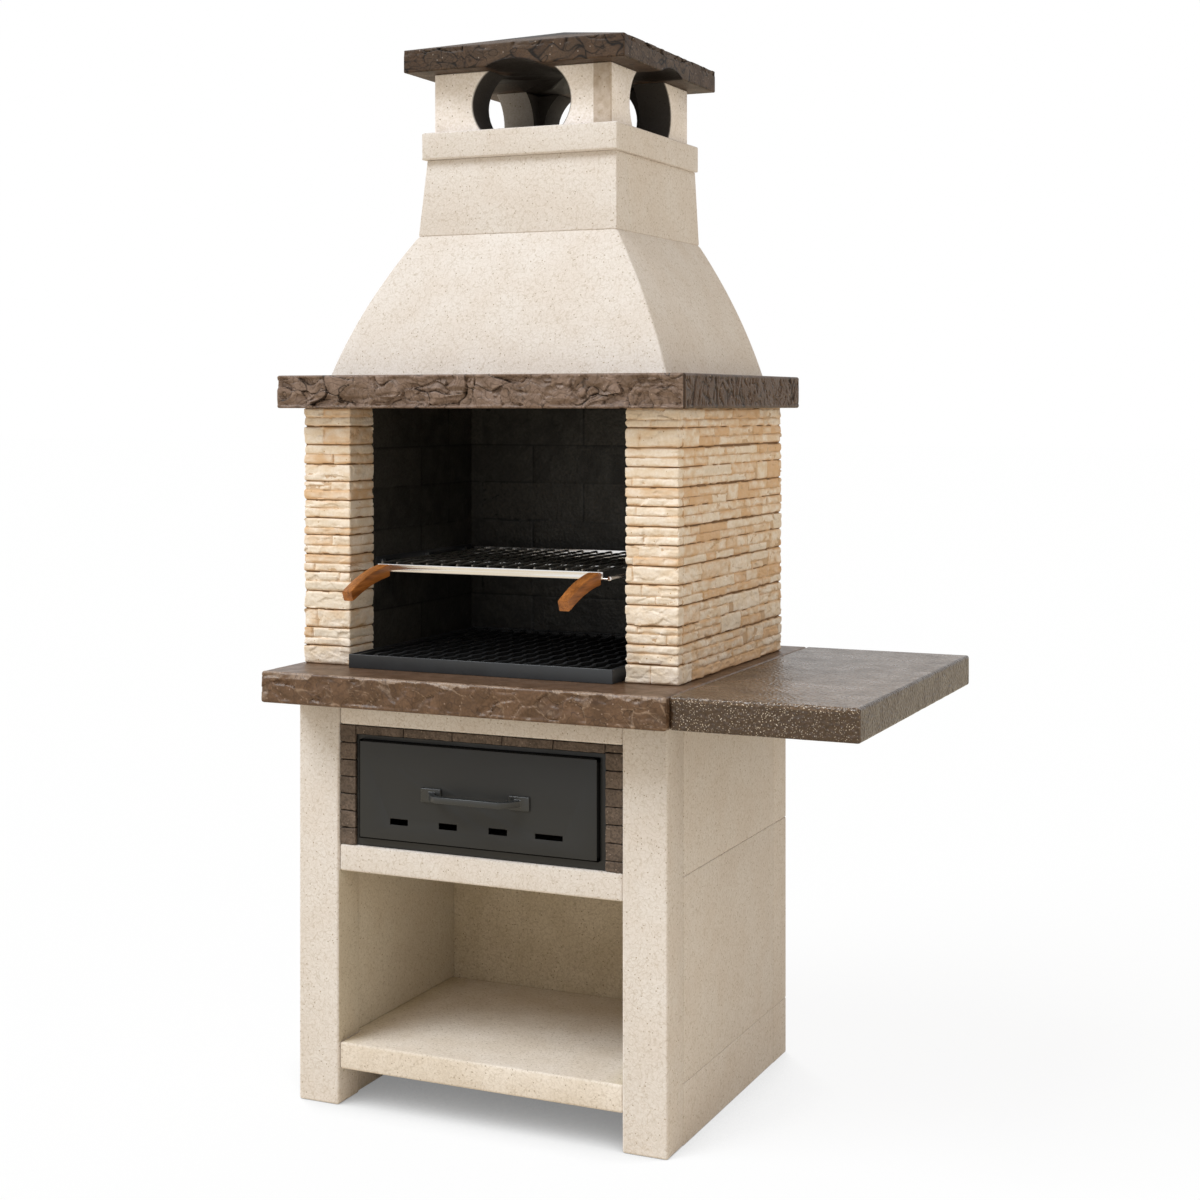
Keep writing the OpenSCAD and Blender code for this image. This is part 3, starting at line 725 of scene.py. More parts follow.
    def coats(self, sheet: Sheet, cloud: Socket, grain: Socket) -> list[tuple]:
        """Everything that is laid over the pale colour, in order.

        Args:
            sheet: the material's sheet.
            cloud: noise of the broad patches.
            grain: noise of the grain.

        Returns:
            Share, colour and blend of each coat.
        """
        add, place = sheet.add, sheet.place
        cells = add("TexVoronoi", {"Vector": place, "Scale": 1000 / self.speck_mm})
        winding = add(
            "TexNoise", {"Vector": place, "Scale": 1000 / self.worm_mm, "Detail": 1.0}
        )
        vein = winding
        for kind, other in (("MULTIPLY", self.worm_rings), ("FRACT", 0.0),
                            ("SUBTRACT", 0.5), ("ABSOLUTE", 0.0)):
            vein = add("Math", (vein, other), operation=kind)
        tone, crack = (
            add("Attribute", out="Fac", attribute_name=name)
            for name in ("tone", "crack")
        )
        patch = add("Math", (cloud, tone), operation="ADD")
        worm, size = self.worm_width, self.speck_size
        coats = []
        for code, *ramp in (
            (self.deep, cloud, 0.38, 0.62, 0.0, 1.0),
            (self.cool_and_shade, tone, 0.05, 0.3, self.cool_and_shade_share, 0.0),
            (self.stain, patch, self.stain_from, self.stain_to, 0.0, self.stain_share),
            (self.grain, grain, 0.42, 0.62, 0.0, self.grain_share),
            (self.speck, cells, size * 0.7, size, 1.0, 0.0),
            (self.worm, vein, 0.3 * worm, worm, self.worm_share, 0.0),
            (self.seam, crack, 0.05, 0.3, 0.0, self.seam_share),
            (self.crack, crack, self.crack_from, 0.9, 0.0, self.crack_share),
        ):
            factor = add("MapRange", tuple(ramp))
            if self.glitter and code == self.speck:
                factor = add("Math", (factor, crack), operation="MULTIPLY")
            coats.append((factor, code, "MIX"))
        if self.niche_shade:
            coats.append((self.niche_shade_share(sheet), self.niche_shade, "MULTIPLY"))
        if self.soot_and_shade:
            sooty_shade, scar = self.soot_and_shade_share(sheet, winding)
            coats += [(scar, self.scar, "MIX"), (sooty_shade, self.soot_and_shade, "MIX")]
        return coats

    def build(self, sheet: Sheet) -> Socket:
        """Adds the mineral's nodes.

        Args:
            sheet: the material's sheet.

        Returns:
            The shader.
        """
        add, place = sheet.add, sheet.place
        stretched = add("Mapping", {"Vector": place, "Scale": self.stretch})
        cloud, grain = (
            add("TexNoise", {"Vector": spot, "Scale": 1000 / size, "Detail": detail})
            for spot, size, detail in (
                (stretched, self.cloud_mm, 4.0), (place, self.grain_mm, 2.0))
        )
        colour: object = to_linear(self.pale)
        for factor, code, blend in self.coats(sheet, cloud, grain):
            colour = add(
                "Mix", {0: factor, 6: colour, 7: to_linear(code)}, out=2,
                data_type="RGBA", blend_type=blend,
            )
        normal = add(
            "Bump", {"Height": grain, "Distance": self.bump_mm / 1000, "Strength": 1.0}
        )
        if self.dimple_mm:
            dimples = add(
                "TexVoronoi",
                {"Vector": place, "Scale": 1000 / self.dimple_mm, "Smoothness": 0.5},
                feature="SMOOTH_F1",
            )
            normal = add(
                "Bump",
                {"Height": dimples, "Distance": self.dimple_depth / 1000,
                 "Strength": 1.0, "Normal": normal},
            )
        glossy, matt = self.roughness - self.spread, self.roughness + self.spread
        rough = add("MapRange", (cloud, 0.3, 0.7, glossy, matt))
        return add(
            "BsdfPrincipled",
            {"Base Color": colour, "Roughness": rough, "Normal": normal,
             "Specular IOR Level": self.specular},
        )


@dataclass(frozen=True)
class Metal(Finish):
    """Bare or painted metal: fine peel or brush marks and rubbed patches."""

    colour: str = "#3A3A3A"
    worn: str = "#454545"
    metallic: float = 0.0
    roughness: float = 0.45
    spread: float = 0.08
    peel_mm: float = 3.0
    bump_mm: float = 0.04
    patch_mm: float = 60.0
    specular: float = 0.5

    def build(self, sheet: Sheet) -> Socket:
        """Adds the metal's nodes.

        Args:
            sheet: the material's sheet.

        Returns:
            The shader.
        """
        add, place = sheet.add, sheet.place
        patch, peel = (
            add("TexNoise", {"Vector": place, "Scale": 1000 / size, "Detail": 3.0})
            for size in (self.patch_mm, self.peel_mm)
        )
        colour = add(
            "Mix", {0: patch, 6: to_linear(self.colour), 7: to_linear(self.worn)},
            out=2, data_type="RGBA",
        )
        glossy, matt = self.roughness - self.spread, self.roughness + self.spread
        rough = add("MapRange", (patch, 0.3, 0.7, glossy, matt))
        normal = add("Bump", {"Height": peel, "Distance": self.bump_mm / 1000})
        return add(
            "BsdfPrincipled",
            {"Base Color": colour, "Metallic": self.metallic, "Roughness": rough,
             "Normal": normal, "Specular IOR Level": self.specular},
        )


@dataclass(frozen=True)
class Wood(Finish):
    """Oiled hardwood: grain lines 2 mm apart that run along the handle."""

    pale: str = "#B16F34"
    deep: str = "#714017"
    grain_mm: float = 2.4
    cloud_mm: float = 14.0
    along: float = 0.07
    bump_mm: float = 0.25
    roughness: float = 0.42

    def build(self, sheet: Sheet) -> Socket:
        """Adds the wood's nodes.

        Args:
            sheet: the material's sheet.

        Returns:
            The shader.
        """
        add = sheet.add
        drawn = add(
            "Mapping", {"Vector": sheet.place, "Scale": (1.0, self.along, 1.0)}
        )
        grain, cloud = (
            add("TexNoise", {"Vector": drawn, "Scale": 1000 / size, "Detail": 3.0})
            for size in (self.grain_mm, self.cloud_mm)
        )
        both = add("Math", (grain, cloud), operation="ADD")
        share = add("MapRange", (both, 0.75, 1.25, 0.0, 1.0))
        colour = add(
            "Mix", {0: share, 6: to_linear(self.pale), 7: to_linear(self.deep)},
            out=2, data_type="RGBA",
        )
        normal = add("Bump", {"Height": grain, "Distance": self.bump_mm / 1000})
        return add(
            "BsdfPrincipled",
            {"Base Color": colour, "Roughness": self.roughness, "Normal": normal},
        )


# Fine-sanded cast stone: matt, with a pale and dark grain.  The real grain is
# about 1.5 mm and is drawn at 4 mm, so that it shows at this distance.
# The warm colour multiplied over the niche's side faces is painted shade.
CAST_STONE = Mineral(
    "cast_stone_sanded", Slot.CAST, pale="#E2DCD8", deep="#DED6D0",
    grain="#B4A898", grain_mm=4.0, grain_share=0.21, speck="#A89A88",
    speck_mm=11.0, speck_size=0.14, worm="#AFA08C", worm_mm=12.0,
    worm_share=0.34, bump_mm=0.8, niche_shade="#EDE9DA",
)
# The bottom shelf, a little warmer than the rest of the cast stone.
SHELVED_STONE = replace(
    CAST_STONE, name="cast_stone_warmer", pale="#E5DCD2", deep="#DCD1C4",
    grain="#B4A592",
)
# The same cast stone at the back of the niche: browner and darker, painted shade, with
# a coarser grain.
SHADED_STONE = replace(
    CAST_STONE, name="cast_stone_niche_painted_shade", pale="#D7CBB6", deep="#CCBFA8",
    grain="#A8967F", grain_share=0.32, speck="#8F7F69", worm="#9C8B73",
    worm_share=0.42, niche_shade="",
)
# The same cast stone on the crown posts: soot and painted shade in the smoke holes, and
# a pale and deep lighter than the cast stone's, painted light on the posts' fronts.
SOOTED_LIT_STONE = replace(
    CAST_STONE, name="cast_stone_sooted_and_painted_light", pale="#FEF9F9", deep="#F4EDE9",
    grain="#C4B8A6", grain_share=0.3, speck="#9A8B78", worm_mm=14.0,
    worm_share=0.0, niche_shade="", soot_and_shade="#1A1512",
)
# Cast stone with a rock-face edge, dyed brown and sealed: semi-gloss, with pale
# veins round the plates and paler chips along the upper arris.
BENCH_STONE = Mineral(
    "bench_stone_sealed", Slot.BENCH, pale="#6C523E", deep="#58412E",
    stain="#9A8676", stain_share=0.85, stain_from=1.3, stain_to=1.45,
    grain="#3C2A20", grain_mm=5.0, grain_share=0.35, speck="#8B7566",
    speck_mm=16.0, speck_size=0.12, worm="#3A281D", worm_mm=30.0, worm_width=0.02,
    worm_share=0.5, crack="#A08873", crack_share=0.6,
    cloud_mm=34.0, roughness=0.4, bump_mm=0.5, dimple_mm=14.0,
    dimple_depth=0.4, specular=0.36,
)
# The same stone with a dimpled top; its cut front shows pale quartz specks, which
# gather along the upper arris as a painted highlight; its right face is painted shade
# in a darker colour.
SHELF_STONE = Mineral(
    "shelf_stone_dimpled", Slot.SHELF, pale="#715C49", deep="#624D39",
    stain="#463424", stain_share=0.95, stain_from=1.05, stain_to=1.3,
    cool_and_shade="#3C2B1B", cool_and_shade_share=0.97,
    grain="#3C2E24", grain_mm=4.0, grain_share=0.35, speck="#DACDBC",
    speck_mm=3.6, speck_size=0.3, worm="#3A2C21", worm_mm=9.0, worm_width=0.06,
    worm_share=0.75, cloud_mm=60.0, roughness=0.3,
    bump_mm=0.6, dimple_mm=6.5, dimple_depth=2.2, specular=0.5, glitter=True,
)
# Cast lintel with a rock-face edge: brown with dark cracks, dull; its right face, tone
# 0, gets a darker colour as painted shade.
LINTEL_STONE = Mineral(
    "lintel_stone_rockface", Slot.LINTEL, pale="#8B776B", deep="#756255",
    stain="#937C6A", stain_share=0.35, stain_from=1.1, stain_to=1.6,
    cool_and_shade="#4F3825", cool_and_shade_share=0.95, grain="#54433A", grain_mm=4.0,
    grain_share=0.3, worm="#4E3E33", worm_mm=46.0, worm_width=0.14, worm_rings=11.0,
    worm_share=0.5, speck="#9A8676", speck_mm=14.0, speck_size=0.12,
    crack="#1E140E", crack_share=0.95, cloud_mm=34.0, roughness=0.44,
    bump_mm=0.9, specular=0.22,
)
# Cast cap with a rock-face edge: grey-brown with dark cracks, dull, with soot and
# painted shade in the arches over the smoke holes.
CAP_STONE = Mineral(
    "cap_stone_rockface", Slot.CAP, worm="#15100C", worm_mm=42.0,
    worm_width=0.045, worm_rings=4.0, worm_share=0.85, pale="#554335", deep="#413126",
    stain="#5D5043", stain_share=0.4, grain="#382F29", grain_mm=4.0,
    grain_share=0.45, speck="#877C74", speck_mm=14.0, speck_size=0.12,
    crack="#130E0B", crack_share=0.95, cloud_mm=34.0, roughness=0.55,
    bump_mm=0.9, specular=0.2, soot_and_shade="#1A1512",
)
# Split ledge stone: cream, some stones stained ochre, some cooler and greyer.
LEDGE_STONE = Mineral(
    "ledge_stone_split", Slot.LEDGE, pale="#F4E9DD", deep="#EBDBC7",
    stain="#D5A671", stain_share=0.7, stain_from=1.1, stain_to=1.7,
    cool_and_shade="#E2D8CA", cool_and_shade_share=0.9, grain="#D3BC9C", grain_mm=5.0,
    grain_share=0.22, speck="#BA9A70", speck_mm=19.0, speck_size=0.08,
    seam="#B9905F", seam_share=0.65, crack="#7A5A3A", crack_from=0.5,
    crack_share=0.9, cloud_mm=30.0,
    stretch=(1.0, 1.0, 1.9), roughness=0.8, bump_mm=1.0,
)
# Cast brick with a rough dark face.
DARK_BRICK = Mineral(
    "dark_brick_rough", Slot.BRICK, pale="#6E5F54", deep="#5B4E44",
    stain="#7A6A5E", stain_share=0.35, grain="#3D332C", grain_mm=4.0,
    grain_share=0.6, speck="#85766A", speck_mm=10.0, speck_size=0.16,
    crack="#2A211C", crack_share=0.9, cloud_mm=35.0, roughness=0.7,
    bump_mm=1.2,
)
# Black firebrick: pressed, dull with a faint sheen, darker in the joints.
FIREBRICK = Mineral(
    "firebrick_black", Slot.FIRE, pale="#373633", deep="#242321",
    stain="#413F3B", stain_share=0.6, grain="#181816", grain_mm=6.0,
    grain_share=0.5, speck="#3B3935", speck_mm=18.0, speck_size=0.1,
    crack="#060605", crack_share=1.0, cloud_mm=38.0, roughness=0.5,
    bump_mm=1.1, dimple_mm=16.0, dimple_depth=0.7, specular=0.4,
)
# Plain concrete of the hidden wall cores.
CONCRETE = Mineral(
    "concrete_plain", Slot.CONCRETE, pale="#D2C7B8", deep="#C6BAA9",
    grain="#A3988A", grain_mm=5.0, grain_share=0.5, bump_mm=1.2,
)
# Heat-resistant paint on sheet steel: dark grey, satin, faint orange peel.
PAINTED_STEEL = Metal(
    "painted_steel_grey", Slot.PAINT, colour="#292A2B", worn="#2E2F30",
    roughness=0.42, peel_mm=4.0, bump_mm=0.05, specular=0.32,
)
# The same paint on the drawer handle, rubbed glossy by hands.
SATIN_STEEL = Metal(
    "painted_steel_rubbed", Slot.PAINT, colour="#242627", worn="#2C2E2F",
    roughness=0.34, peel_mm=5.0, bump_mm=0.01, specular=0.6,
)
# Black strip round the drawer front: painted shadow in the gap between the front and
# its frame.
PAINTED_SHADOW_STRIP = Metal(
    "painted_shadow_strip_black", Slot.PAINT, colour="#060606", worn="#0A0A0A",
    roughness=0.8, bump_mm=0.1, specular=0.1,
)
# Black heat-resistant paint of the tray and the rails.
BLACK_STEEL = Metal(
    "painted_steel_black", Slot.BLACK, colour="#26282B", worn="#303337",
    roughness=0.42, peel_mm=4.0, bump_mm=0.06,
)
# Zinc-plated steel: grey, dull metal.
ZINC_STEEL = Metal(
    "zinc_plated_steel", Slot.ZINC, colour="#9A9DA0", worn="#86898C",
    metallic=1.0, roughness=0.42, patch_mm=12.0,
)
# Chrome-plated bar: bright, with faint drawing marks.
CHROME = Metal(
    "chrome_plated_steel", Slot.CHROME, colour="#ECEDEF", worn="#E0DCD8",
    metallic=1.0, roughness=0.2, spread=0.06, peel_mm=6.0, bump_mm=0.03,
)
# Cooking rods darkened by use.
GRATE_IRON = Metal(
    "grate_rods_darkened", Slot.IRON, colour="#8A8986", worn="#5A5957",
    metallic=0.8, roughness=0.34, peel_mm=5.0, bump_mm=0.1, patch_mm=25.0,
)
# Black cast bars of the charcoal grate.
COAL_IRON = Metal(
    "cast_iron_black", Slot.COAL, colour="#1B1C1D", worn="#27282A",
    metallic=0.2, roughness=0.5, peel_mm=3.0, bump_mm=0.25,
)
# Oiled hardwood of the handles.
HANDLE_WOOD = Wood("hardwood_oiled", Slot.WOOD)


# Placing

PACKED_MERGED_M = 1e-5
FLAT_ANGLE, ARRIS_ANGLE = math.radians(1), math.radians(30)


def place(
    mesh: bpy.types.Mesh, finish: Finish, body: str, *nodes: str
) -> bpy.types.Object:
    """Makes an object of a mesh, finishes it and ties it to the frame.

    Args:
        mesh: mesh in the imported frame.
        finish: its finish.
        body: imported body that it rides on.
        nodes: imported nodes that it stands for.

    Returns:
        The object.
    """
    thing = bpy.data.objects.new(mesh.name, mesh)
    bpy.context.scene.collection.objects.link(thing)
    mesh.materials.clear()
    mesh.materials.append(finish.material())
    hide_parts(*nodes)
    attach(thing, body)
    LOG.info("%s: %d faces for %s", mesh.name, len(mesh.polygons), ", ".join(nodes))
    return thing


def dress(node: str, finish: Finish) -> None:
    """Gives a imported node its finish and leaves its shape.

    Args:
        node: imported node.
        finish: its finish.
    """
    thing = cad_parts[node]
    thing.data.materials.clear()
    thing.data.materials.append(finish.material())
    LOG.info("%s: packed shape with %s", node, finish.name)


def arrised(
    node: str, name: str, finish: Finish, body: str, width: float = 4.0, steps: int = 3,
    gap: float = 0.0,
) -> bpy.types.Object:
    """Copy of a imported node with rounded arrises.

    The copy's doubles are merged and its flat faces joined, then a bevel
    rounds every edge that turns by more than 30 degrees.

    Args:
        node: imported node.
        name: name of the piece.
        finish: its finish.
        body: body that it rides on.
        width: width of the bevel.
        steps: segments of the bevel.
        gap: how much the piece is narrower and lower on each side.

    Returns:
        The object.
    """
    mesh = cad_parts[node].data.copy()
    mesh.name = name
    work = bmesh.new()
    work.from_mesh(mesh)
    bmesh.ops.remove_doubles(work, verts=work.verts[:], dist=PACKED_MERGED_M)
    bmesh.ops.dissolve_limit(
        work, angle_limit=FLAT_ANGLE, verts=work.verts[:], edges=work.edges[:]
    )
    box = block_of(node)
    middle = box.mid / 1000 + ORIGIN
    share = 1 - 2 * gap / box.size
    for vert in work.verts:
        vert.co.x = middle[0] + (vert.co.x - middle[0]) * share[0]
        vert.co.z = middle[2] + (vert.co.z - middle[2]) * share[2]
    work.to_mesh(mesh)
    work.free()
    mesh.polygons.foreach_set("use_smooth", np.ones(len(mesh.polygons), bool))
    thing = place(mesh, finish, body, node)
    bevel = thing.modifiers.new("arris", "BEVEL")
    bevel.width = width / 1000
    bevel.segments = steps
    bevel.limit_method = "ANGLE"
    bevel.angle_limit = ARRIS_ANGLE
    bevel.harden_normals = True
    return thing


# Stones and bricks laid on a wall


@dataclass(frozen=True)
class Stone:
    """One stone on a wall: its edges along the wall and in height."""

    left: float
    right: float
    low: float
    high: float
    set_back: float
    tone: float


@dataclass(frozen=True)
class Course:
    """One strip of cladding at the corner, and how far it runs round it."""

    low: float
    high: float
    panel: int
    strip: int
    tall: bool
    set_back: float
    tone: float
    reach: float


@dataclass(frozen=True)
class Laying:
    """How stones are cut and laid, in millimetres.

    Depth of the joints, width of the rounded edges, waviness of the joints,
    roughness and tilt of the faces, width of the facets, strength of the line
    along an edge, shade of the joints, depth of the rounded edge as a share of
    its width, and how much the tone rises towards the edges.
    """

    joint: float
    edge: float
    wobble: float
    rough: float
    tilt: float
    seed: int
    facet: float = 15.0
    line: float = 0.6
    shade: float = 1.0
    drop: float = 0.75
    halo: float = 0.0
    wave_mm: ClassVar[tuple[float, float]] = (24.0, 15.0)
    grit_mm: ClassVar[float] = 18.0
    halo_mm: ClassVar[tuple[float, float]] = (6.0, 21.0)
    line_mm: ClassVar[float] = 1.2

    def field(
        self, along: Array, up: Array, stones: list[Stone], deep: Array | float = 0.0
    ) -> Relief:
        """Depth of the stones' faces behind the wall's outer plane.

        A stone's face is its set-back, its tilt, two noises and a round drop
        towards its edges, d = drop * edge * t * t with t from 0 inside to 1
        at the edge.  Outside every stone the joint's depth stays.

        Args:
            along: places of the columns.
            up: places of the rows.
            stones: the stones.
            deep: how much deeper the joint lies at each row.

        Returns:
            Depth, tone and crack grids, rows by columns.
        """
        floor = np.broadcast_to(self.joint + deep, len(up))[:, None]
        depth = np.repeat(floor, len(along), axis=1)
        tone = np.full_like(depth, 0.4)
        crack = np.where(floor > self.joint, 1.0, self.shade) * np.ones_like(depth)
        for number, stone in enumerate(stones):
            rows = np.flatnonzero((up > stone.low - 2) & (up < stone.high + 2))
            columns = np.flatnonzero(
                (along > stone.left - 3) & (along < stone.right + 3)
            )
            if not len(rows) or not len(columns):
                continue
            window = np.ix_(rows, columns)
            x, z = np.meshgrid(along[columns], up[rows])
            spot = np.stack([x, z], -1)
            seed = self.seed * 977 + number * 13
            shift, sway = (
                self.wobble * smooth_noise(spot, size, seed + k)
                for k, size in enumerate(self.wave_mm)
            )
            inside = np.minimum.reduce(
                [x - stone.left + sway, stone.right - x + sway,
                 z - stone.low + shift, stone.high - z + shift]
            )
            rim = np.clip(1 - inside / self.edge, 0, 1)
            turn = 2 * lattice_value(np.array([[number, 1], [number, 2]]), seed) - 1
            wide, tall = stone.right - stone.left, stone.high - stone.low
            lean_x = (x - (stone.left + stone.right) / 2) / max(20, wide)
            lean_z = (z - (stone.low + stone.high) / 2) / max(10, tall)
            facets = Plates.scatter(spot * (0.5, 1), self.facet, seed + 4)
            grit = layered_noise(spot * (1, 1.7), self.grit_mm, seed + 2, 4)
            face = (
                stone.set_back
                + self.tilt * (turn[0] * lean_x + turn[1] * lean_z)
                + self.rough * (1.1 * facets.slope + 0.7 * facets.tone + 0.5 * grit)
                + self.edge * self.drop * rim * rim
            )
            better = (inside > 0) & (face < depth[window])
            depth[window] = np.where(better, face, depth[window])
            near = np.clip(1 - inside / self.halo_mm[0], 0, 1)
            near *= 0.6 + 0.6 * smooth_noise(spot, self.halo_mm[1], seed + 7)
            tint = stone.tone + self.halo * near
            tone[window] = np.where(better, tint, tone[window])
            line = np.clip(1 - inside / self.line_mm, 0, 1) * self.line
            crack[window] = np.where(better, line, crack[window])
        return np.clip(depth, 0, floor), tone, crack


SPLIT_LAYING = Laying(
    joint=3.6, edge=5.0, wobble=0.8, rough=2.3, tilt=1.2, seed=0, facet=20.0,
    line=0.3, shade=0.35, drop=0.5, halo=0.5,
)
FACE_LAYING = replace(
    SPLIT_LAYING, edge=4.2, rough=2.2, shade=0.4, drop=0.55, halo=0.6
)
FIREBRICK_LAYING = Laying(
    joint=1.3, edge=1.6, wobble=0.3, rough=0.3, tilt=0.6, seed=9, facet=60.0,
    line=0.5,
)


@dataclass
class Wall:
    """A laid wall seen from above: face, outward direction, back and run."""

    outer: Array
    out: Array
    inner: Array
    run: Array

    @classmethod
    def straight(cls, axis: int, outer: float, inner: float, run: Array) -> "Wall":
        """Flat wall between two planes.

        Args:
            axis: axis that the wall faces along, 0 or 1.
            outer: where its face stands on that axis.
            inner: where its back stands on that axis.
            run: places along the other axis.

        Returns:
            The wall.
        """
        face, back, out = np.zeros((3, len(run), 2))
        face[:, 1 - axis] = back[:, 1 - axis] = run
        face[:, axis], back[:, axis] = outer, inner
        out[:, axis] = np.sign(outer - inner)
        return cls(face, out, back, run)

    def shell(self, up: Array, laid: Relief) -> Shell:
        """Closes the laid face into a solid band.

        Args:
            up: height of each row of the face.
            laid: depth, tone and crack grids of the face.

        Returns:
            The closed shell.
        """
        depth, tone, crack = laid
        face = np.empty((*depth.shape, 3))
        face[..., :2] = self.outer - self.out * depth[..., None]
        face[..., 2] = up[:, None]
        back = np.empty((2, len(self.run), 3))
        back[..., :2] = self.inner
        back[..., 2] = up[[0, -1], None]
        shell = Shell()
        front, rear = shell.lay(face, tone, crack), shell.lay(back, 0.4, 0.0)
        for ids in (front, rear, *(np.stack([front[k], rear[k]]) for k in (0, -1))):
            shell.skin(ids)
        for end in (0, -1):
            shell.lid(np.concatenate([front[:, end], rear[::-1, end]]))
        return shell


# Rock-face slabs


@dataclass(frozen=True)
class RockFace:
    """Broken plates on a slab's edge, in millimetres."""

    plate: float = 26.0
    stretch: float = 1.7
    step: float = 3.2
    lean: float = 3.0
    groove: float = 1.8
    groove_width: float = 1.7
    ripple: float = 1.0
    swell: float = 3.0
    chip: float = 0.0
    ledge: float = 0.0
    wrinkle: float = 0.0
    calm: float = 6.0
    warp: float = 22.0
    seed: int = 1

    def noise(self, spot: Array, size: float, step: int) -> Array:
        """Smooth noise whose seed lies a step after the face's own."""
        return smooth_noise(spot, size, self.seed + step)

    def relief(self, along: Array, up: Array, height: float) -> Relief:
        """Depth behind the slab's outer plane.

        Each plate has its own step and tilt, rims are cut by a groove
        exp(-(rim/width)^2), and the face swells between its two arrises.  A
        ledge drops the face below a wavy line, wrinkles follow the zeros of
        an upright noise, all of it dies away towards the arrises, and chips
        slope back under the upper arris.

        Args:
            along: distance along the edge.
            up: height from the middle of the edge.
            height: height of the edge.

        Returns:
            Depth, tone and crack, each like along.
        """
        spot = np.stack([along, up], -1)
        level = spot * (1, 0)
        bend = np.stack([self.noise(spot, 30, step) for step in (5, 6)], -1)
        curved = (spot + bend * (self.warp, self.warp / 2)) * (1 / self.stretch, 1)
        big = Plates.scatter(curved, self.plate, self.seed)
        small = Plates.scatter(curved + 4 * bend, self.plate * 0.45, self.seed + 40)
        patchy = np.clip(self.noise(spot, 42, 9) * 2 + 0.75, 0, 1)
        rim = np.exp(-((big.rim / self.groove_width) ** 2)) * patchy
        fine = np.exp(-((small.rim / (self.groove_width * 0.7)) ** 2))
        fine = fine * (self.noise(spot, 26, 10) > 0.1)
        depth = (
            self.step * big.tone
            + self.lean * (big.slope + 0.4 * small.slope)
            + self.groove * (rim + 0.5 * fine)
            + self.ripple * layered_noise(spot, 9, self.seed + 12)
            + self.swell * np.abs(2 * up / height) ** 3
        )
        wave = height * 0.28 * self.noise(level, 75, 14)
        depth += self.ledge / (1 + np.exp((up - wave) / 1.1))
        fold = self.noise(spot * (0.8, 0.3) + 13 * bend, 9, 15)
        crease = self.wrinkle * np.exp(-((fold / 0.16) ** 2))
        depth += crease * 1.6
        fade = np.clip((height / 2 - 3.0 - np.abs(up)) / self.calm, 0, 1)
        depth *= 0.12 + 0.88 * fade * fade * (3 - 2 * fade)
        bite = self.noise(level, 85, 16) + 0.5 * self.noise(spot * (1, 0.4), 17, 17)
        above = up - (height / 2 - self.chip * np.clip(0.35 + bite, 0, 1))
        depth += np.minimum(0.5 * np.clip(above, 0, None), 3.4)
        tone = np.where(above > 0, 1.0, 0.35 + big.tone * 0.45)
        crack = np.clip(rim + 0.6 * fine + 0.5 * crease, 0, 1)
        return np.clip(depth - 0.6, 0, None), tone, crack


@dataclass
class Slab:
    """A slab as rings of points: top, arris, edge, arris, underside."""

    box: Block
    corner: float
    arris: float
    counts: tuple[int, int]
    edge_rows: int
    hole: tuple[tuple[float, float], ...] | None = None
    peak: float = 0.0

    def rings(self) -> tuple[Array, Array, Array, Array]:
        """Places of the rings.

        From the middle or the hole's rim out over the top, down the edge and
        back underneath; the arris follows a quarter circle.

        Returns:
            Points, outward directions, share of relief and arc length.
        """
        lo, hi = self.box.lo, self.box.hi
        outline, out = ring(lo[:2], hi[:2], self.corner, self.counts)
        if self.hole is None:
            core = np.broadcast_to(self.box.mid[:2], outline.shape)
        else:
            core = ring(*self.hole, 0.5, self.counts)[0]
        top = hi[2] - self.peak
        width = self.arris
        flats = [(k, width, 0.0) for k in (0.0, 0.25, 0.5, 0.75, 0.88, 0.95)]
        flats.append((0.985, width, 0.25))
        rows = [(k, inset, top + self.peak * (1 - k), share)
                for k, inset, share in flats]
        turns = [(math.cos(a), math.sin(a)) for a in np.radians([90, 60, 30, 0])]
        bends = [(width * (1 - c), width * (1 - s), 0.55 + 0.45 * c) for c, s in turns]
        rows += [(1.0, inset, top - drop, share) for inset, drop, share in bends]
        middle = np.linspace(top - width, lo[2] + width, self.edge_rows)[1:-1]
        rows += [(1.0, 0.0, z, 1.0) for z in middle]
        bends.reverse()
        rows += [(1.0, inset, lo[2] + drop, share) for inset, drop, share in bends]
        rows += [(k, inset, lo[2], share) for k, inset, share in flats[::-1]]
        places = []
        for spread, inset, z, _ in rows:
            flat = core + (outline - out * inset - core) * spread
            places.append(np.concatenate([flat, np.full((len(flat), 1), z)], 1))
        shares = np.array([share for *_, share in rows])
        step = np.linalg.norm(np.diff(outline, axis=0, append=outline[:1]), axis=1)
        return np.stack(places), out, shares, np.cumsum(step) - step[0]

    def shell(self, carve: Callable[[Array, Array, Array], Relief]) -> Shell:
        """Builds the slab; its relief dies away beside the turned corners.

        Args:
            carve: depth, tone and crack from arc length, height and direction.

        Returns:
            The closed shell.
        """
        near, quiet = 7.0, 0.3
        spots, out, share, run = self.rings()
        rows = len(spots)
        along = np.broadcast_to(run, (rows, len(run)))
        up = spots[..., 2] - self.box.mid[2]
        depth, tone, crack = carve(along, up, np.broadcast_to(out, (rows, *out.shape)))
        edge = share[:, None] > quiet
        tone = np.where(edge, tone, 0.5)
        flat = spots[rows // 2, :, :2]
        turned = flat[np.abs(out).max(axis=1) < 0.999]
        gap = np.linalg.norm(flat[:, None] - turned[None], axis=-1).min(axis=1)
        calm = quiet + (1 - quiet) * np.clip(gap / near, 0, 1)
        depth = depth * share[:, None] * calm
        spots[..., :2] -= out * depth[..., None]
        shell = Shell()
        ids = shell.lay(spots, tone, crack * edge)
        shell.skin(ids, wrap=True)
        if self.hole is not None:
            shell.skin(np.stack([ids[-1], ids[0]]), wrap=True)
        return shell


# Sub-assemblies

ACROSS, BACKWARDS = np.array([1.0, 0.0, 0.0]), np.array([0.0, 1.0, 0.0])


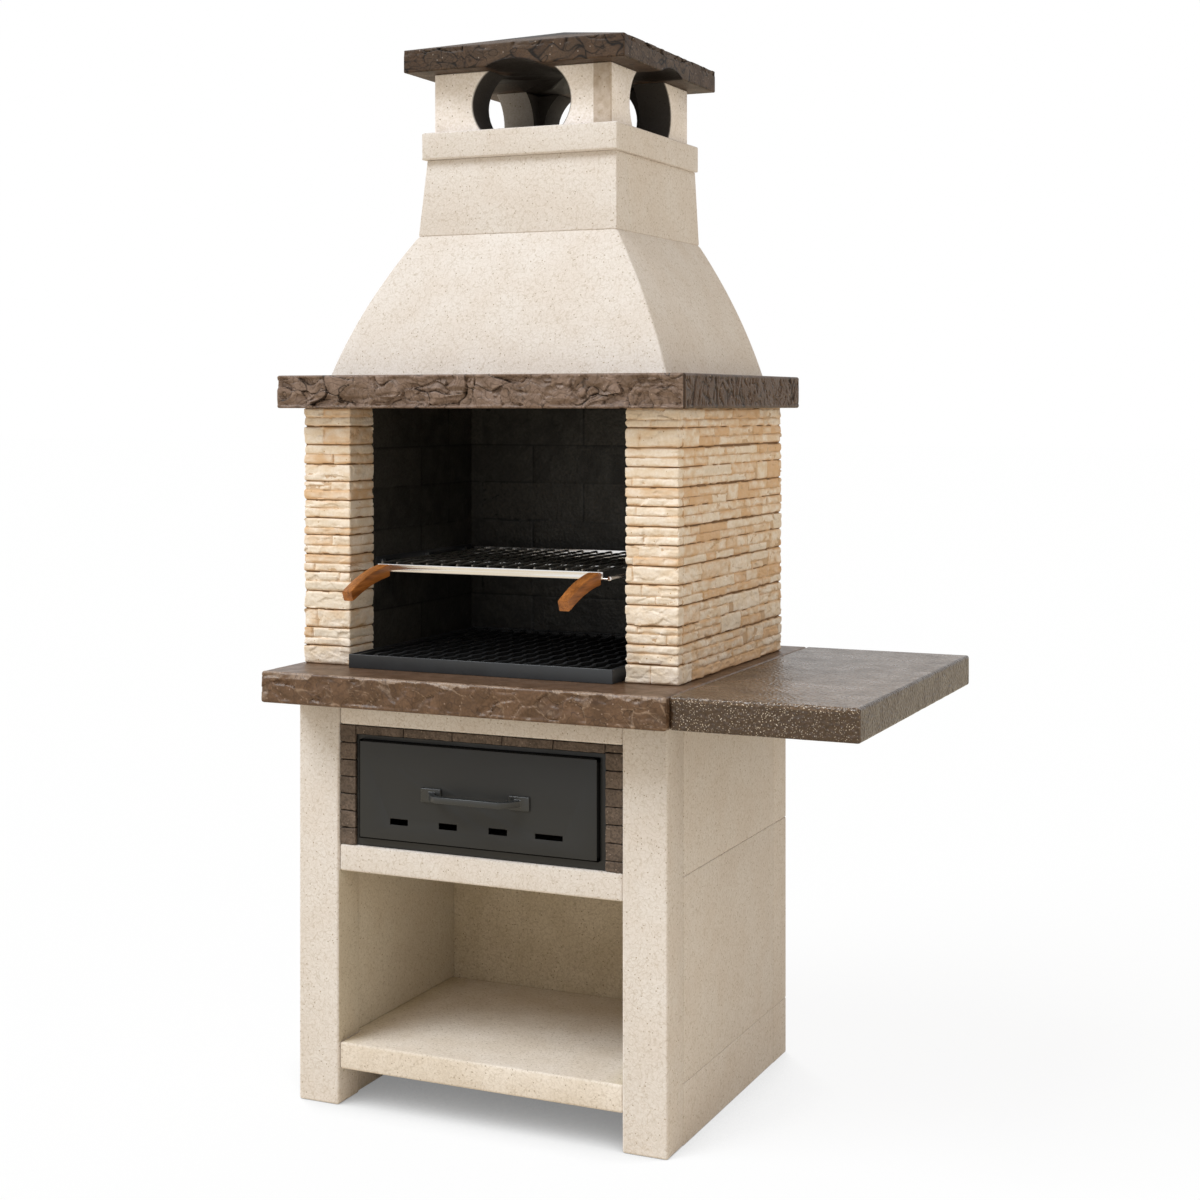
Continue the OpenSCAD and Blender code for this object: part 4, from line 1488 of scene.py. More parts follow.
@dataclass
class Base:
    """Cast-stone base: legs, side walls, back and shelves."""

    body: str = "masonry"
    arris: float = 5.0
    joint_arris: float = 2.8
    back_arris: float = 2.0
    blocks: tuple[str, ...] = (
        "left_leg", "right_leg", "left_plinth_block", "right_plinth_block",
        "left_lower_panel", "right_lower_panel", "left_upper_panel",
        "right_upper_panel", "left_rear_column", "right_rear_column",
        "bottom_shelf", "middle_shelf", "apron_beam",
    )

    def build(self) -> None:
        """Rounds the arrises of every visible block."""
        for node in self.blocks:
            narrow = "panel" in node or "plinth" in node or "column" in node
            finish = SHELVED_STONE if node == "bottom_shelf" else CAST_STONE
            arrised(node, f"{node}_stone", finish, self.body,
                    self.joint_arris if narrow else self.arris)
        arrised("back_panel", "back_panel_stone", SHADED_STONE, self.body,
                self.back_arris)


@dataclass
class DrawerOpening:
    """Brick surround, steel frame, rails and the ash drawer."""

    body: str = "masonry"
    drawer: str = "ash_drawer"
    course: float = 33.0
    joint: float = 0.6
    edge: float = 1.3
    pitch: float = 3.5
    shift: float = 13.0
    shadow_strip_width: float = 8.0
    shadow_strip_behind: float = 1.4

    def bricks(self, node: str, cuts_x: list[float], cuts_z: list[float]) -> None:
        """Rough bricks between the cuts, each a round box with dented faces.

        Args:
            node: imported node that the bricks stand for.
            cuts_x: joints across.
            cuts_z: joints in height.
        """
        box = block_of(node)
        shells = []
        cells = itertools.product(*(itertools.pairwise(c) for c in (cuts_x, cuts_z)))
        for k, ((x0, x1), (z0, z1)) in enumerate(cells):
            gap = self.joint / 2
            lo = np.array([x0 + gap / 2, box.lo[1], z0 + gap])
            hi = np.array([x1 - gap / 2, box.hi[1], z1 - gap])
            middle = (lo + hi) / 2
            brick = round_box(lo, hi, self.edge, self.pitch)
            for n, points in enumerate(brick.points):
                dent = 0.7 + 0.6 * layered_noise(points, 11, 50 + k, 3)
                reach = np.abs(points - middle) >= (hi - lo) / 2 - 4
                inward = np.sign(middle - points) * reach
                brick.points[n] = points + inward * dent[:, None]
                brick.tones[n] = np.full(len(points), (k * 0.37) % 1.0)
            shells.append(brick)
        place(join(shells).mesh(f"{node}_bricks"), DARK_BRICK, self.body, node)

    def paint_shadow_strip(self) -> None:
        """Thin black strip round the edges of the drawer front: painted shadow of the
        gap.
        """
        box = block_of("drawer_front")
        lo, hi = box.lo.copy(), box.hi.copy()
        lo[1] += self.shadow_strip_behind
        strips = []
        for axis, end in itertools.product((0, 2), (0, 1)):
            low, high = lo.copy(), hi.copy()
            if end:
                low[axis] = hi[axis] - self.shadow_strip_width
            else:
                high[axis] = lo[axis] + self.shadow_strip_width
            strips.append(round_box(low, high, 0.3, 60))
        place(join(strips).mesh("drawer_painted_shadow_strip"), PAINTED_SHADOW_STRIP, self.drawer,
              "drawer_front")

    def build(self) -> None:
        """Builds the surround and the drawer."""
        for side, shift in (("left", 0.0), ("right", self.shift)):
            box = block_of(f"surround_{side}")
            low, high = box.lo[2], box.hi[2]
            rows = [low + i * self.course - shift for i in range(1, 8)]
            cuts = [low, *(z for z in rows if low + 6 < z < high - 4), high]
            self.bricks(f"surround_{side}", [box.lo[0], box.hi[0]], cuts)
        box = block_of("surround_top")
        cuts = np.linspace(box.lo[0], box.hi[0], 6).tolist()
        self.bricks("surround_top", cuts, [box.lo[2], box.hi[2]])
        arrised("drawer_frame", "drawer_frame_steel", PAINTED_STEEL, self.body, 0.6, 2)
        for side in ("left", "right"):
            dress(f"drawer_rail_{side}", ZINC_STEEL)
        # The front is drawn 2.5 mm narrower and lower on each side, so that the painted
        # shadow strip shows round it.
        arrised("drawer_front", "drawer_front_steel", PAINTED_STEEL, self.drawer, 1.6,
                gap=2.5)
        self.paint_shadow_strip()
        arrised("drawer_box", "drawer_box_steel", PAINTED_STEEL, self.drawer, 0.6, 2)
        arrised("drawer_handle", "drawer_handle_steel", SATIN_STEEL, self.drawer,
                3.0, 4)


@dataclass
class Bench:
    """Bench slab with a rock-face front, and the side shelf."""

    body: str = "masonry"
    corner: float = 6.0
    arris: float = 5.0
    ash_hole: tuple[tuple[float, float], ...] = ((-150.0, 203.5), (150.0, 403.5))
    front: RockFace = RockFace(
        seed=11, plate=30, stretch=1.7, step=2.4, lean=5.5, groove=1.0,
        groove_width=1.2, ripple=0.7, swell=0.6, chip=13.0, warp=30)
    rear: RockFace = RockFace(
        seed=17, step=1.0, lean=1.0, groove=0.4, ripple=0.6, swell=0.5)

    def carve(self, along: Array, up: Array, out: Array) -> Relief:
        """Rock face on the front and the left, plain edges on the other sides.

        Args:
            along: distance along the edge.
            up: height from its middle.
            out: outward directions.

        Returns:
            Depth, tone and crack.
        """
        height = block_of("bench_slab").size[2]
        rock, plain = (f.relief(along, up, height) for f in (self.front, self.rear))
        share = np.clip(np.maximum(-out[..., 1], -out[..., 0]) * 1.5, 0, 1)
        return tuple(a * share + b * (1 - share) for a, b in zip(rock, plain))

    def smooth(self, along: Array, up: Array, out: Array) -> Relief:
        """Slightly wavy edge with pale specks; a paler band and more specks along its
        upper arris are a painted highlight, and its right face is painted shade.

        Args:
            along: distance along the edge.
            up: height from its middle.
            out: outward directions.

        Returns:
            Depth, tone and crack.
        """
        spot = np.stack([along, up], -1)
        depth = np.clip(0.4 + 0.7 * layered_noise(spot, 22, 71, 4), 0, None)
        front, right = (np.clip(a, 0, 1) for a in (-out[..., 1], out[..., 0]))
        # Painted highlight along the upper arris: the pale specks gather there.
        arris_highlight = np.exp(-(((up - 24) / 4) ** 2))
        specks_and_highlight = front * (0.6 + 0.4 * smooth_noise(spot, 25, 72) + arris_highlight)
        # The right face gets tone 0, painted shade in the finish's darker colour; a
        # pale band along the upper arris is a painted highlight, the front below it
        # takes the dark stain.
        tone = 0.4 * (1 - right) + 0.6 * front * (up < 22)
        return depth, tone, np.clip(specks_and_highlight, 0, 1)

    def build(self) -> None:
        """Builds both slabs."""
        slabs = (
            ("bench_slab", (330, 240), 26, self.ash_hole, self.carve, BENCH_STONE),
            ("side_shelf", (190, 260), 22, None, self.smooth, SHELF_STONE),
        )
        for node, counts, rows, hole, carve, finish in slabs:
            slab = Slab(block_of(node), self.corner, self.arris, counts, rows, hole)
            mesh = slab.shell(carve).mesh(f"{node}_stone", ROCK_SHARP)
            place(mesh, finish, self.body, node)
        dress("side_shelf_dowels", ZINC_STEEL)


@dataclass
class Firebox:
    """Side walls clad with split stone, and the firebrick lining."""

    body: str = "masonry"
    panels: int = 7
    lines: int = 316
    levels: dict[int, Array] = field(default_factory=dict)
    brick: float = 242.0
    course: float = 81.0

    def corner(self, box: Block) -> Wall:
        """Corner stones seen from above: opening side, front, outer side.

        Each point is one of the inner outline moved out by the radius.

        Args:
            box: box of the corner stones of the right-hand wall.

        Returns:
            The wall that goes round the corner.
        """
        radius, thick, bed = 4.0, 24.0, 10.0
        left, right, foot = box.lo[0] + radius, box.hi[0] - radius, box.lo[1] + radius
        arc = np.linspace(0, 90, 8)[1:-1]
        cores, outs = [], []
        for start, end, degrees in (
            ((left, box.hi[1]), (left, foot), np.full(44, 180)),
            ((left, foot), (left, foot), 180 + arc),
            ((left, foot), (right, foot), np.full(52, 270)),
            ((right, foot), (right, foot), 270 + arc),
            ((right, foot), (right, box.lo[1] + thick), np.full(8, 0)),
        ):
            cores.append(np.linspace(start, end, len(degrees)))
            turn = np.radians(degrees)
            outs.append(np.stack([np.cos(turn), np.sin(turn)], 1))
        out = np.concatenate(outs)
        outer = np.concatenate(cores) + radius * out
        inner = np.stack(
            [np.clip(outer[:, 0], box.lo[0] + thick, box.hi[0] - bed),
             np.maximum(outer[:, 1], box.lo[1] + thick)], 1)
        steps = np.linalg.norm(np.diff(outer, axis=0), axis=1)
        return Wall(outer, out, inner, np.concatenate([[0], np.cumsum(steps)]))

    def tone(self, dice: np.random.Generator) -> float:
        """Most stones are cream, some ochre, some grey.

        Args:
            dice: source of the random choices.

        Returns:
            The stone's tone.
        """
        kind = dice.uniform()
        if kind < 0.2:
            return dice.uniform(0.72, 1.0)
        return dice.uniform(0.0, 0.2) if kind < 0.38 else dice.uniform(0.35, 0.6)

    def courses(
        self, low: float, high: float, dice: np.random.Generator
    ) -> list[Course]:
        """Strips of every panel: two halves, most of them of two strips.

        Args:
            low: foot of the wall.
            high: head of the wall.
            dice: source of the random choices.

        Returns:
            The strips at the corner, from the foot up.
        """
        pitch = (high - low) / self.panels
        rows = []
        for i in range(self.panels):
            mids = 0.25 * np.arange(1, 4) + dice.uniform(-0.035, 0.035, 3)
            levels = low + pitch * (i + np.array([0.0, *mids, 1.0]))
            gaps = np.array([1.1, 0.25, 0.9, 0.25, 1.1])
            k = 0
            while k < 4:
                tall = k % 2 == 0 and dice.uniform() < 0.3
                top = k + (2 if tall else 1)
                rows.append(Course(
                    levels[k] + gaps[k], levels[top] - gaps[top], i, k, tall,
                    dice.uniform(-0.9, 0.6), self.tone(dice), dice.uniform(30, 120)))
                k = top
            self.levels[i] = levels
        return rows

    def joints(self, up: Array) -> Array:
        """Extra depth of the joints between two half panels.

        Args:
            up: height of each row.

        Returns:
            The extra depth at each row.
        """
        cuts = np.array([self.levels[i][k] for i in range(self.panels) for k in (0, 2)])
        return 2.6 * (np.abs(up[:, None] - cuts).min(axis=1) < 2.2)

    def front(self, side: str, rows: list[Course], seed: int) -> None:
        """Corner stones: the strips wrap from the opening round to the side.

        Args:
            side: left or right wall.
            rows: the strips at the corner.
            seed: picks the cuts and the roughness.
        """
        node = f"{side}_front_stones"
        box, right = block_of(node), side == "right"
        if not right:
            lo, hi = box.lo.copy(), box.hi.copy()
            lo[0], hi[0] = -box.hi[0], -box.lo[0]
            box = Block(lo, hi)
        wall = self.corner(box)
        end = wall.run[-1] + 5
        up = np.linspace(box.lo[2], box.hi[2], self.lines)
        dice = np.random.default_rng(seed)
        stones = []
        for row in rows:
            cut = dice.uniform(100, 175) if dice.uniform() < 0.3 else end
            stones.append(Stone(-5, cut, row.low, row.high, row.set_back, row.tone))
            if cut < wall.run[-1]:
                set_back = row.set_back + dice.uniform(-0.5, 1.0)
                stones.append(Stone(cut + 0.4, end, row.low, row.high, set_back,
                                    self.tone(dice)))
        laying = replace(SPLIT_LAYING, seed=seed)
        laid = laying.field(wall.run, up, stones, self.joints(up))
        shell = wall.shell(up, laid)
        mesh = shell.mesh(f"{side}_corner_stones", STONE_SHARP, not right)
        place(mesh, LEDGE_STONE, self.body, node)

    def side(self, side: str, rows: list[Course], seed: int) -> None:
        """Outer face: the corner strips run on, then short stones follow.

        Args:
            side: left or right wall.
            rows: the strips at the corner.
            seed: picks the stones and their roughness.
        """
        node = f"{side}_side_stones"
        box = block_of(node)
        planes = (box.hi[0], box.lo[0]) if side == "right" else (box.lo[0], box.hi[0])
        wall = Wall.straight(0, *planes, np.linspace(box.lo[1], box.hi[1], 205))
        up = np.linspace(box.lo[2], box.hi[2], self.lines)
        dice = np.random.default_rng(seed)
        start, end = box.lo[1] - 8, box.hi[1] + 8
        # Side stones' tones are raised towards the ochre stain: partly the stones' own
        # stain, partly painted warm shade on the side faces.
        stain_and_shade_scale, stain_and_shade_lift = 1.3, 0.1
        stones = []
        reach = np.full((self.panels, 4), start)
        for row in rows:
            y = box.lo[1] + row.reach
            stones.append(Stone(start, y, row.low, row.high, row.set_back,
                                row.tone * stain_and_shade_scale + stain_and_shade_lift))
            reach[row.panel, row.strip : row.strip + 1 + row.tall] = y
        for i, ends in enumerate(reach):
            levels = self.levels[i]
            while ends.min() < end:
                k = int(ends.argmin())
                y = ends[k] + 0.5
                length = dice.uniform(45, 165)
                tall = (k % 2 == 0 and abs(ends[k + 1] - ends[k]) < 30
                        and dice.uniform() < 0.45)
                top = k + (2 if tall else 1)
                y = max(y, ends[top - 1] + 0.5)
                foot = levels[k] + (1.6 if k == 0 else 0.3)
                head = levels[top] - (1.6 if top == 4 else 0.3)
                stones.append(Stone(y, y + length, foot, head, dice.uniform(-0.8, 1.2),
                                    self.tone(dice) * stain_and_shade_scale + stain_and_shade_lift))
                ends[k:top] = y + length
        laying = replace(FACE_LAYING, seed=seed)
        laid = laying.field(wall.run, up, stones, self.joints(up))
        mesh = wall.shell(up, laid).mesh(f"{side}_split_stones", STONE_SHARP)
        place(mesh, LEDGE_STONE, self.body, node)

    def bricks(self, start: float, end: float, first: tuple[float, float],
               low: float, high: float, seed: int) -> list[Stone]:
        """Firebricks in courses laid from the top down, joints broken.

        Args:
            start: where the wall begins along its run.
            end: where it ends.
            first: a joint's place in the odd and in the even courses.
            low: foot of the wall.
            high: head of the wall.
            seed: picks the tones.

        Returns:
            The bricks.
        """
        dice = np.random.default_rng(seed)
        gap, over = 0.8, 4.0
        bricks = []
        head, row = high, 0
        while head > low + 1:
            foot = max(low, head - self.course)
            joint = first[row % 2]
            joint -= self.brick * math.ceil((joint - start) / self.brick)
            while joint < end:
                left = max(start - over, joint + gap)
                right = min(end + over, joint + self.brick - gap)
                bricks.append(Stone(left, right, foot + gap, head - gap,
                                    dice.uniform(0, 0.8), dice.uniform(0, 1)))
                joint += self.brick
            head, row = foot, row + 1
        return bricks

    def lining(self, side: str) -> None:
        """One firebrick lining as a laid face on its slab.

        Args:
            side: left, right or rear lining.
        """
        node = f"firebox_{side}_lining"
        box = block_of(node)
        (x0, y0, z0), (x1, y1, z1) = box.lo, box.hi
        if side == "rear":
            wall = Wall.straight(1, y0, y1, np.linspace(x0, x1, 190))
            first = (-22.0, -143.0)
        else:
            planes = (x1, x0) if side == "left" else (x0, x1)
            wall = Wall.straight(0, *planes, np.linspace(y0, y1, 130))
            first = (y0 + 72.6, y0 + 193.6)
        up = np.linspace(z0, z1, 170)
        bricks = self.bricks(wall.run[0], wall.run[-1], first, z0, z1, 7)
        laid = FIREBRICK_LAYING.field(wall.run, up, bricks)
        mesh = wall.shell(up, laid).mesh(f"firebox_{side}_firebricks", STONE_SHARP)
        place(mesh, FIREBRICK, self.body, node)

    def build(self) -> None:
        """Builds both walls and the lining."""
        for side, seed in (("left", 23), ("right", 4)):
            dress(f"{side}_wall_core", CONCRETE)
            core = block_of(f"{side}_wall_core")
            rows = self.courses(core.lo[2], core.hi[2], np.random.default_rng(seed))
            self.front(side, rows, seed + 50)
            self.side(side, rows, seed + 100)
        for side in ("left", "right", "rear"):
            self.lining(side)
        dress("firebox_rear_wall", CONCRETE)
        for side in ("left", "right"):
            arrised(f"grate_rail_{side}", f"{side}_rail_steel", BLACK_STEEL,
                    self.body, 0.5, 2)
        dress("rail_screws", ZINC_STEEL)


@dataclass
class Grates:
    """Cooking grate with its handles, ember tray and charcoal grate."""

    rod_pitch: float = 33.0
    rods_beside: int = 7
    rod: float = 5.0
    crimp: float = 2.6
    crimp_length: float = 42.0
    lift: float = 0.7
    coal_pitch: float = 30.0
    coal_sway: float = 3.4
    coal_wave: float = 58.0

    def crimped(self, x: float, y0: float, y1: float, z: float) -> Shell:
        """Crimped rod: it sways as sin(2 pi y / length) and lifts with it.

        Args:
            x: middle of the rod.
            y0: its front end.
            y1: its rear end.
            z: height of its middle.

        Returns:
            The closed rod.
        """
        y = np.linspace(y0, y1, max(8, int((y1 - y0) / 6)))
        angle = 2 * np.pi * (y - y0) / self.crimp_length
        path = np.stack([x + self.crimp * np.sin(angle), y,
                         z + self.lift * np.sin(angle + 0.9)], 1)
        return sweep(path, circle(self.rod / 2), ACROSS)

    def rods(self) -> None:
        """Rods of the cooking grate and the two cross rods under them."""
        box = block_of("grate_rods")
        z = box.hi[2] - self.rod / 2 - self.lift
        shells = [
            self.crimped(box.mid[0] + i * self.rod_pitch, box.lo[1] + 1, box.hi[1], z)
            for i in range(-self.rods_beside, self.rods_beside + 1)
        ]
        for share in (0.3, 0.7):
            y = box.lo[1] + share * box.size[1]
            path = np.linspace((box.lo[0], y, box.lo[2] + self.rod / 2),
                               (box.hi[0], y, box.lo[2] + self.rod / 2), 12)
            shells.append(sweep(path, circle(self.rod / 2), BACKWARDS))
        place(join(shells).mesh("crimped_rods"), GRATE_IRON, "cooking_grate",
              "grate_rods")

    def handle(self, side: str) -> None:
        """Wooden handle: a soft square section along a drooping curve.

        Its top falls by 26 t^2 + 14 t mm over the reach, t from 0 to 1, and
        both ends are drawn out and in a little, so that their arrises are soft.

        Args:
            side: left or right handle.
        """
        node = f"{side}_grate_handle"
        box, width, out = block_of(node), 24.4, 0.8
        t = np.linspace(0, 1, 26)
        thick = 24.5 - 3.5 * t
        fall = 26 * t * t + 14 * t
        path = np.stack([
            np.full(len(t), box.mid[0]),
            box.hi[1] - 1 - (box.size[1] - 2.5) * t,
            box.hi[2] - 1.2 - fall - thick / 2], 1)
        grow = thick / width
        grow[[0, -1]] *= 0.95
        path[[0, -1], 1] += (out, -out)
        shell = sweep(path, soft_square(width, width, 2.4), ACROSS, grow)
        place(shell.mesh(f"{side}_wood_handle", 50), HANDLE_WOOD, "cooking_grate", node)

    def charcoal(self) -> None:
        """Wavy cast bars inside a flat frame with four feet."""
        box = block_of("charcoal_grate")
        (x0, y0, z0), (x1, y1, top) = box.lo, box.hi
        bar, foot = 8.0, 14.0
        section = soft_square(bar - 0.6, 12.0, 1.2)
        middle = (x0 + x1) / 2
        y = np.linspace(y0 + 4, y1 - 4, 70)
        count = int(((x1 - x0) / 2 - bar) // self.coal_pitch)
        bars = []
        for i in range(-count, count + 1):
            sway = self.coal_sway * np.sin(2 * np.pi * y / self.coal_wave + i * 0.2)
            path = np.stack([middle + i * self.coal_pitch + sway, y,
                             np.full(70, top - 6.6)], 1)
            bars.append(sweep(path, section, ACROSS))
        for low, high in (((x0, y0), (x1, y0 + bar)), ((x0, y1 - bar), (x1, y1)),
                          ((x0, y0), (x0 + bar, y1)), ((x1 - bar, y0), (x1, y1))):
            bars.append(round_box(np.array([*low, top - 14.0]),
                                  np.array([*high, top]), 1.4, 40))
        for x, y in itertools.product((x0, x1 - foot), (y0, y1 - foot)):
            bars.append(round_box(np.array([x, y, z0]),
                                  np.array([x + foot, y + foot, top - 13]), 1.5, 8))
        place(join(bars).mesh("charcoal_grate_bars"), COAL_IRON, "charcoal_grate",
              "charcoal_grate")

    def build(self) -> None:
        """Builds the grates and the tray."""
        arrised("grate_frame", "grate_frame_chrome", CHROME, "cooking_grate", 0.9, 2)
        self.rods()
        for side in ("left", "right"):
            self.handle(side)
        dress("grate_handle_bolts", ZINC_STEEL)
        arrised("ember_tray", "ember_tray_steel", BLACK_STEEL, "ember_tray", 1.0, 2)
        self.charcoal()


@dataclass
class Chimney:
    """Lintel, smoke hood, neck, collar, crown and cap."""

    body: str = "masonry"
    peak: float = 60.0
    smoke_front: float = 112.0
    lintel_face: RockFace = RockFace(
        seed=31, plate=34, stretch=1.7, step=3.0, lean=10.0, groove=2.4,
        groove_width=1.5, ripple=0.6, swell=0.8, ledge=4.0, calm=4.0, warp=34)
    lintel_side: RockFace = RockFace(
        seed=37, plate=34, stretch=0.4, step=0.8, lean=1.6, groove=0.0, ripple=0.7,
        swell=0.4, wrinkle=1.4, calm=5.0, warp=30)
    cap_face: RockFace = RockFace(
        seed=43, plate=27, stretch=1.8, step=1.8, lean=4.5, groove=2.4,
        groove_width=2.3, ripple=0.6, swell=0.3, calm=2.5, warp=26)

    def carve_lintel(self, along: Array, up: Array, out: Array) -> Relief:
        """Bulging plates on front and left, upright wrinkles on the right, whose tone
        of 0 is painted shade.

        Args:
            along: distance along the edge.
            up: height from its middle.
            out: outward directions.

        Returns:
            Depth, tone and crack.
        """
        height = block_of("lintel_slab").size[2]
        rock = self.lintel_face.relief(along, up, height)
        fold = self.lintel_side.relief(along, up, height)
        share = np.clip(out[..., 0], 0, 1)
        depth, tone, crack = (a * (1 - share) + b * share for a, b in zip(rock, fold))
        seam = np.exp(-(((out[..., 0] + out[..., 1]) / 0.4) ** 2))
        seam *= out[..., 0] > 0.3
        # The right face gets tone 0: painted shade in the finish's darker cool colour.
        return depth + 0.8 * seam, tone * (1 - share), np.maximum(crack, seam)

    def carve_cap(self, along: Array, up: Array, out: Array) -> Relief:
        """Flat plates outlined by narrow cracks, on all four sides."""
        height = block_of("cap_slab").size[2] - self.peak
        return self.cap_face.relief(along, up, height)

    def lintel(self) -> None:
        """Lintel slab with its smoke opening."""
        box = block_of("lintel_slab")
        rear = block_of("firebox_rear_lining").lo[1]
        fire = block_of("firebox_right_lining").lo[0]
        slab = Slab(box, 6.0, 4.5, (470, 250), 36,
                    hole=((-fire, self.smoke_front), (fire, rear)))
        mesh = slab.shell(self.carve_lintel).mesh("lintel_slab_stone", ROCK_SHARP)
        place(mesh, LINTEL_STONE, self.body, "lintel_slab")

    def hood(self) -> None:
        """Smoke hood: rings that lean in as t (0.66 + 0.34 t), hollow inside."""
        box, neck = block_of("smoke_hood"), block_of("neck_front_block")
        low, high, rear = box.lo[2], box.hi[2], box.hi[1]
        wall, soft = 45.0, 1.5
        outside = ((box.hi[0], box.lo[1]), (neck.hi[0], neck.lo[1]))
        inside = ((box.hi[0] - wall, box.lo[1] + wall), (162.5, 232.0))
        layers = []
        for (foot, head), back, corner, shares in (
            (outside, rear, 4.0, np.linspace(0, 1, 41)),
            (inside, 557.0, 1.0, np.linspace(1, 0, 21)),
        ):
            for t in shares:
                lean = t * (0.66 + 0.34 * t)
                half, front = (a + (b - a) * lean for a, b in zip(foot, head))
                inset = soft if corner > 1 and t in (0.0, 1.0) else 0.0
                z = low + (high - low) * t
                layers.append((half - inset, front + inset, back - inset, z, corner))
        layers.insert(1, (*outside[0], rear, low + soft, 4.0))
        rings = []
        for half, front, back, z, corner in layers:
            lo, hi = np.array([-half, front]), np.array([half, back])
            flat = ring(lo, hi, corner, (24, 20))[0]
            rings.append(np.concatenate([flat, np.full((len(flat), 1), z)], 1))
        shell = Shell()
        ids = shell.lay(np.stack(rings))
        shell.skin(ids, wrap=True)
        shell.skin(np.stack([ids[-1], ids[0]]), wrap=True)
        place(shell.mesh("smoke_hood_stone", 25), CAST_STONE, self.body, "smoke_hood")

    def cap(self) -> None:
        """Cap slab with a low pyramid; the smoke holes cut into its underside."""
        box = block_of("cap_slab")
        crown = block_of("crown_posts")
        slab = Slab(box, 3.0, 2.5, (220, 220), 24, peak=self.peak)
        shell = slab.shell(self.carve_cap)
        points = shell.points[0]
        under = points[:, 2] < box.lo[2] + 30
        for middle, axis in ((0.0, 0), (crown.mid[1], 1)):
            off = points[:, axis] - middle
            across = np.clip(1 - (off / SmokeHole.half) ** 2, 0, 1)
            arch = SmokeHole.level - SmokeHole.drop + SmokeHole.tall * np.sqrt(across)
            points[:, 2] = np.where(under & (points[:, 2] < arch), arch, points[:, 2])
        place(shell.mesh("cap_slab_stone", ROCK_SHARP), CAP_STONE, self.body,
              "cap_slab")

    def build(self) -> None:
        """Builds everything above the fire."""
        self.lintel()
        self.hood()
        for node in ("neck_front_block", "neck_rear_block"):
            arrised(node, f"{node}_stone", CAST_STONE, self.body, 2.0)
        arrised("collar_slab", "collar_stone", CAST_STONE, self.body, 4.0)
        arrised("crown_posts", "crown_posts_stone", SOOTED_LIT_STONE, self.body, 3.0, 2)
        self.cap()


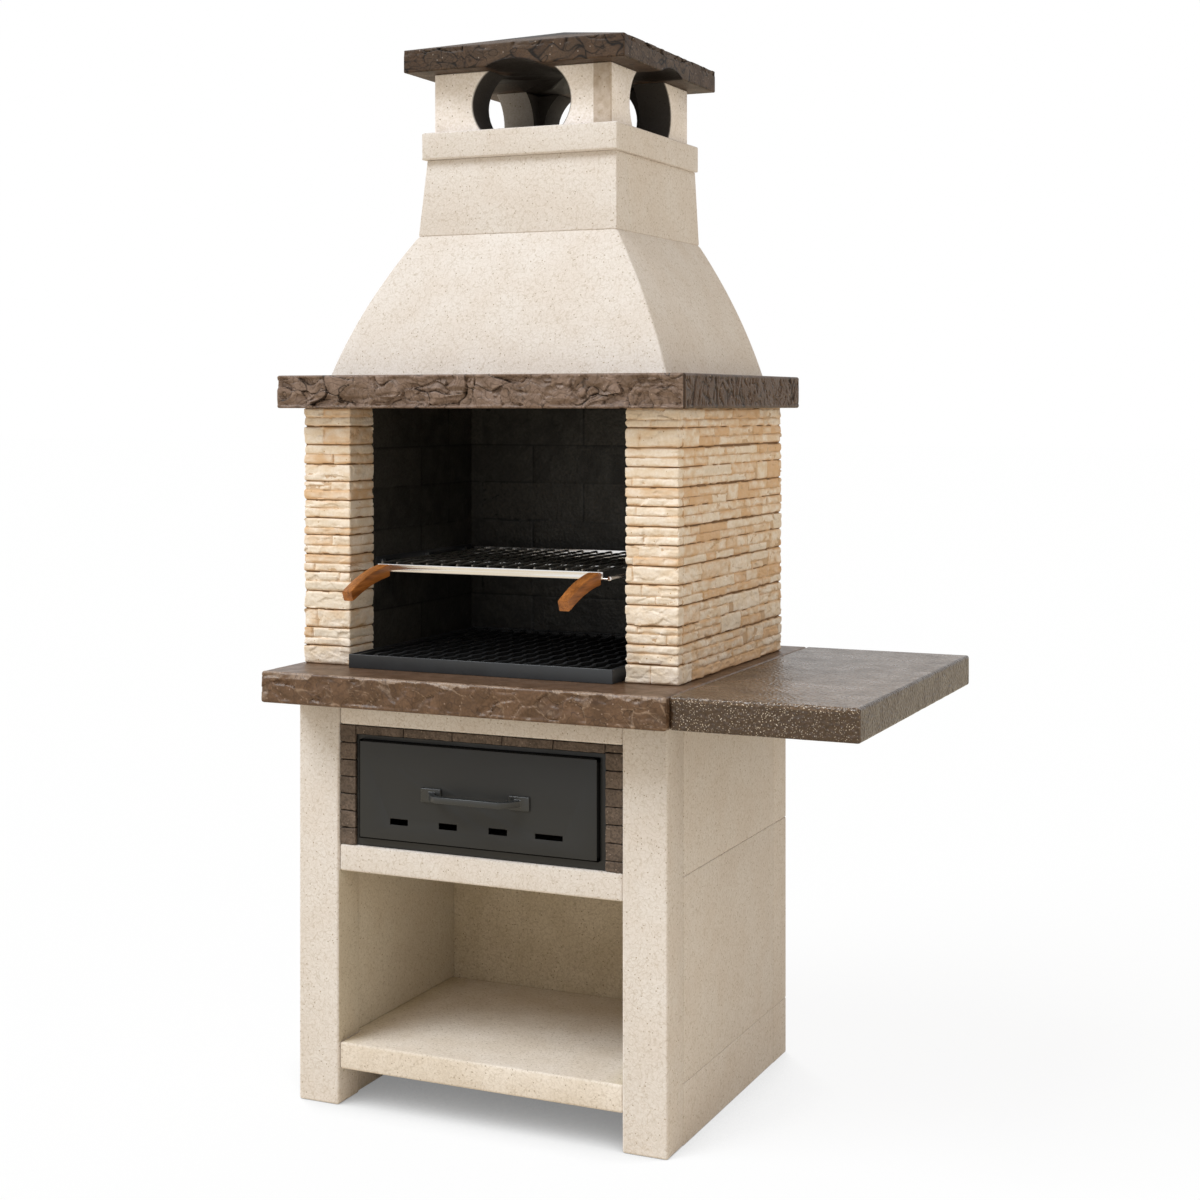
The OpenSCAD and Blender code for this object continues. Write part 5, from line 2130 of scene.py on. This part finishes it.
@dataclass
class Studio:
    """Floor, lamps, world and camera."""

    pixels: float = 1200.0
    focal_px: float = 1966.9
    centre_px: float = 404.4
    yaw: float = 24.1163
    eye: tuple[float, float, float] = (1724.2, -3278.9, 1360.9)
    key: tuple[float, float, float] = (38.0, 0.0, -42.0)
    key_power: float = 2.42
    key_spread: float = 34.0
    key_tint: tuple[float, float, float] = (0.91, 0.96, 1.0)
    fill: tuple[float, float, float] = (52.0, 0.0, 62.0)
    fill_power: float = 0.3
    fill_spread: float = 60.0
    fill_tint: tuple[float, float, float] = (1.0, 0.93, 0.82)
    ambient: float = 0.56

    def floor(self) -> None:
        """Pale floor: near white in the picture, shaded where little sky reaches."""
        mesh = bpy.data.meshes.new("studio_floor")
        reach = 60.0
        mesh.from_pydata(
            [(-reach, -reach, 0), (reach, -reach, 0), (reach, reach, 0),
             (-reach, reach, 0)], [], [(0, 1, 2, 3)])
        plane = bpy.data.objects.new("studio_floor", mesh)
        bpy.context.scene.collection.objects.link(plane)
        paper = bpy.data.materials.new("studio_floor_paper")
        add = Sheet(paper).add
        board = add("BsdfDiffuse", {"Color": (0.79, 0.71, 0.58, 1.0)})
        matt = add("BsdfDiffuse", {"Color": (0.08, 0.08, 0.08, 1.0)})
        sky = add("AmbientOcclusion", {"Distance": 0.4}, out="AO", samples=8)
        level = add("MapRange", (sky, 0.03, 0.62, 0.2, 0.908))
        glow = add("Emission", {"Color": (0.995, 0.997, 1, 1), "Strength": level})
        seen = add("AddShader", (matt, glow))
        ray = add("LightPath", out="Is Camera Ray")
        mix = add("MixShader", (ray, board, seen))
        add("OutputMaterial", {"Surface": mix})
        mesh.materials.append(paper)

    def world(self) -> None:
        """Even pale light; white for the camera and for reflections."""
        world = bpy.data.worlds.new("studio_world")
        bpy.context.scene.world = world
        add = Sheet(world).add
        rays = add("LightPath").node.outputs
        either = add("Math", (rays["Is Camera Ray"], rays["Is Glossy Ray"]),
                     operation="MAXIMUM")
        soft = add("Background",
                   {"Color": (1.0, 0.925, 0.82, 1.0), "Strength": self.ambient})
        white = add("Background", {"Color": (1.0, 1.0, 1.0, 1.0)})
        mix = add("MixShader", (either, soft, white))
        add("OutputWorld", {"Surface": mix})

    def lamps(self) -> None:
        """Two large soft suns: key from the left, fill from the right."""
        for name, turn, power, spread, colour in (
            ("key_light", self.key, self.key_power, self.key_spread, self.key_tint),
            ("fill_light", self.fill, self.fill_power, self.fill_spread,
             self.fill_tint),
        ):
            data = bpy.data.lights.new(name, "SUN")
            data.energy = power
            data.color = colour
            data.angle = math.radians(spread)
            lamp = bpy.data.objects.new(name, data)
            lamp.rotation_euler = [math.radians(a) for a in turn]
            bpy.context.scene.collection.objects.link(lamp)

    def camera(self) -> None:
        """Level camera with the lens raised, as the photograph's."""
        data = bpy.data.cameras.new("photo_camera")
        data.sensor_width = 36.0
        data.lens = self.focal_px / self.pixels * data.sensor_width
        data.shift_y = (self.centre_px - self.pixels / 2) / self.pixels
        data.clip_start, data.clip_end = 0.05, 200.0
        camera = bpy.data.objects.new("photo_camera", data)
        camera.location = np.array(self.eye) / 1000 + ORIGIN
        camera.rotation_euler = (math.pi / 2, 0.0, math.radians(self.yaw))
        bpy.context.scene.collection.objects.link(camera)
        bpy.context.scene.camera = camera

    def build(self) -> None:
        """Sets up the studio."""
        bpy.context.scene.view_settings.view_transform = "Standard"
        self.floor()
        self.world()
        self.lamps()
        self.camera()


def main() -> None:
    """Builds the sub-assemblies from the floor up, then the studio."""
    logging.basicConfig(level=logging.INFO, format="%(name)s: %(message)s")
    for part in (Base(), DrawerOpening(), Bench(), Firebox(), Grates(), Chimney()):
        LOG.info("sub-assembly %s", type(part).__name__)
        part.build()
    Studio().build()
    bpy.context.view_layer.update()


if __name__ == "__main__":
    main()
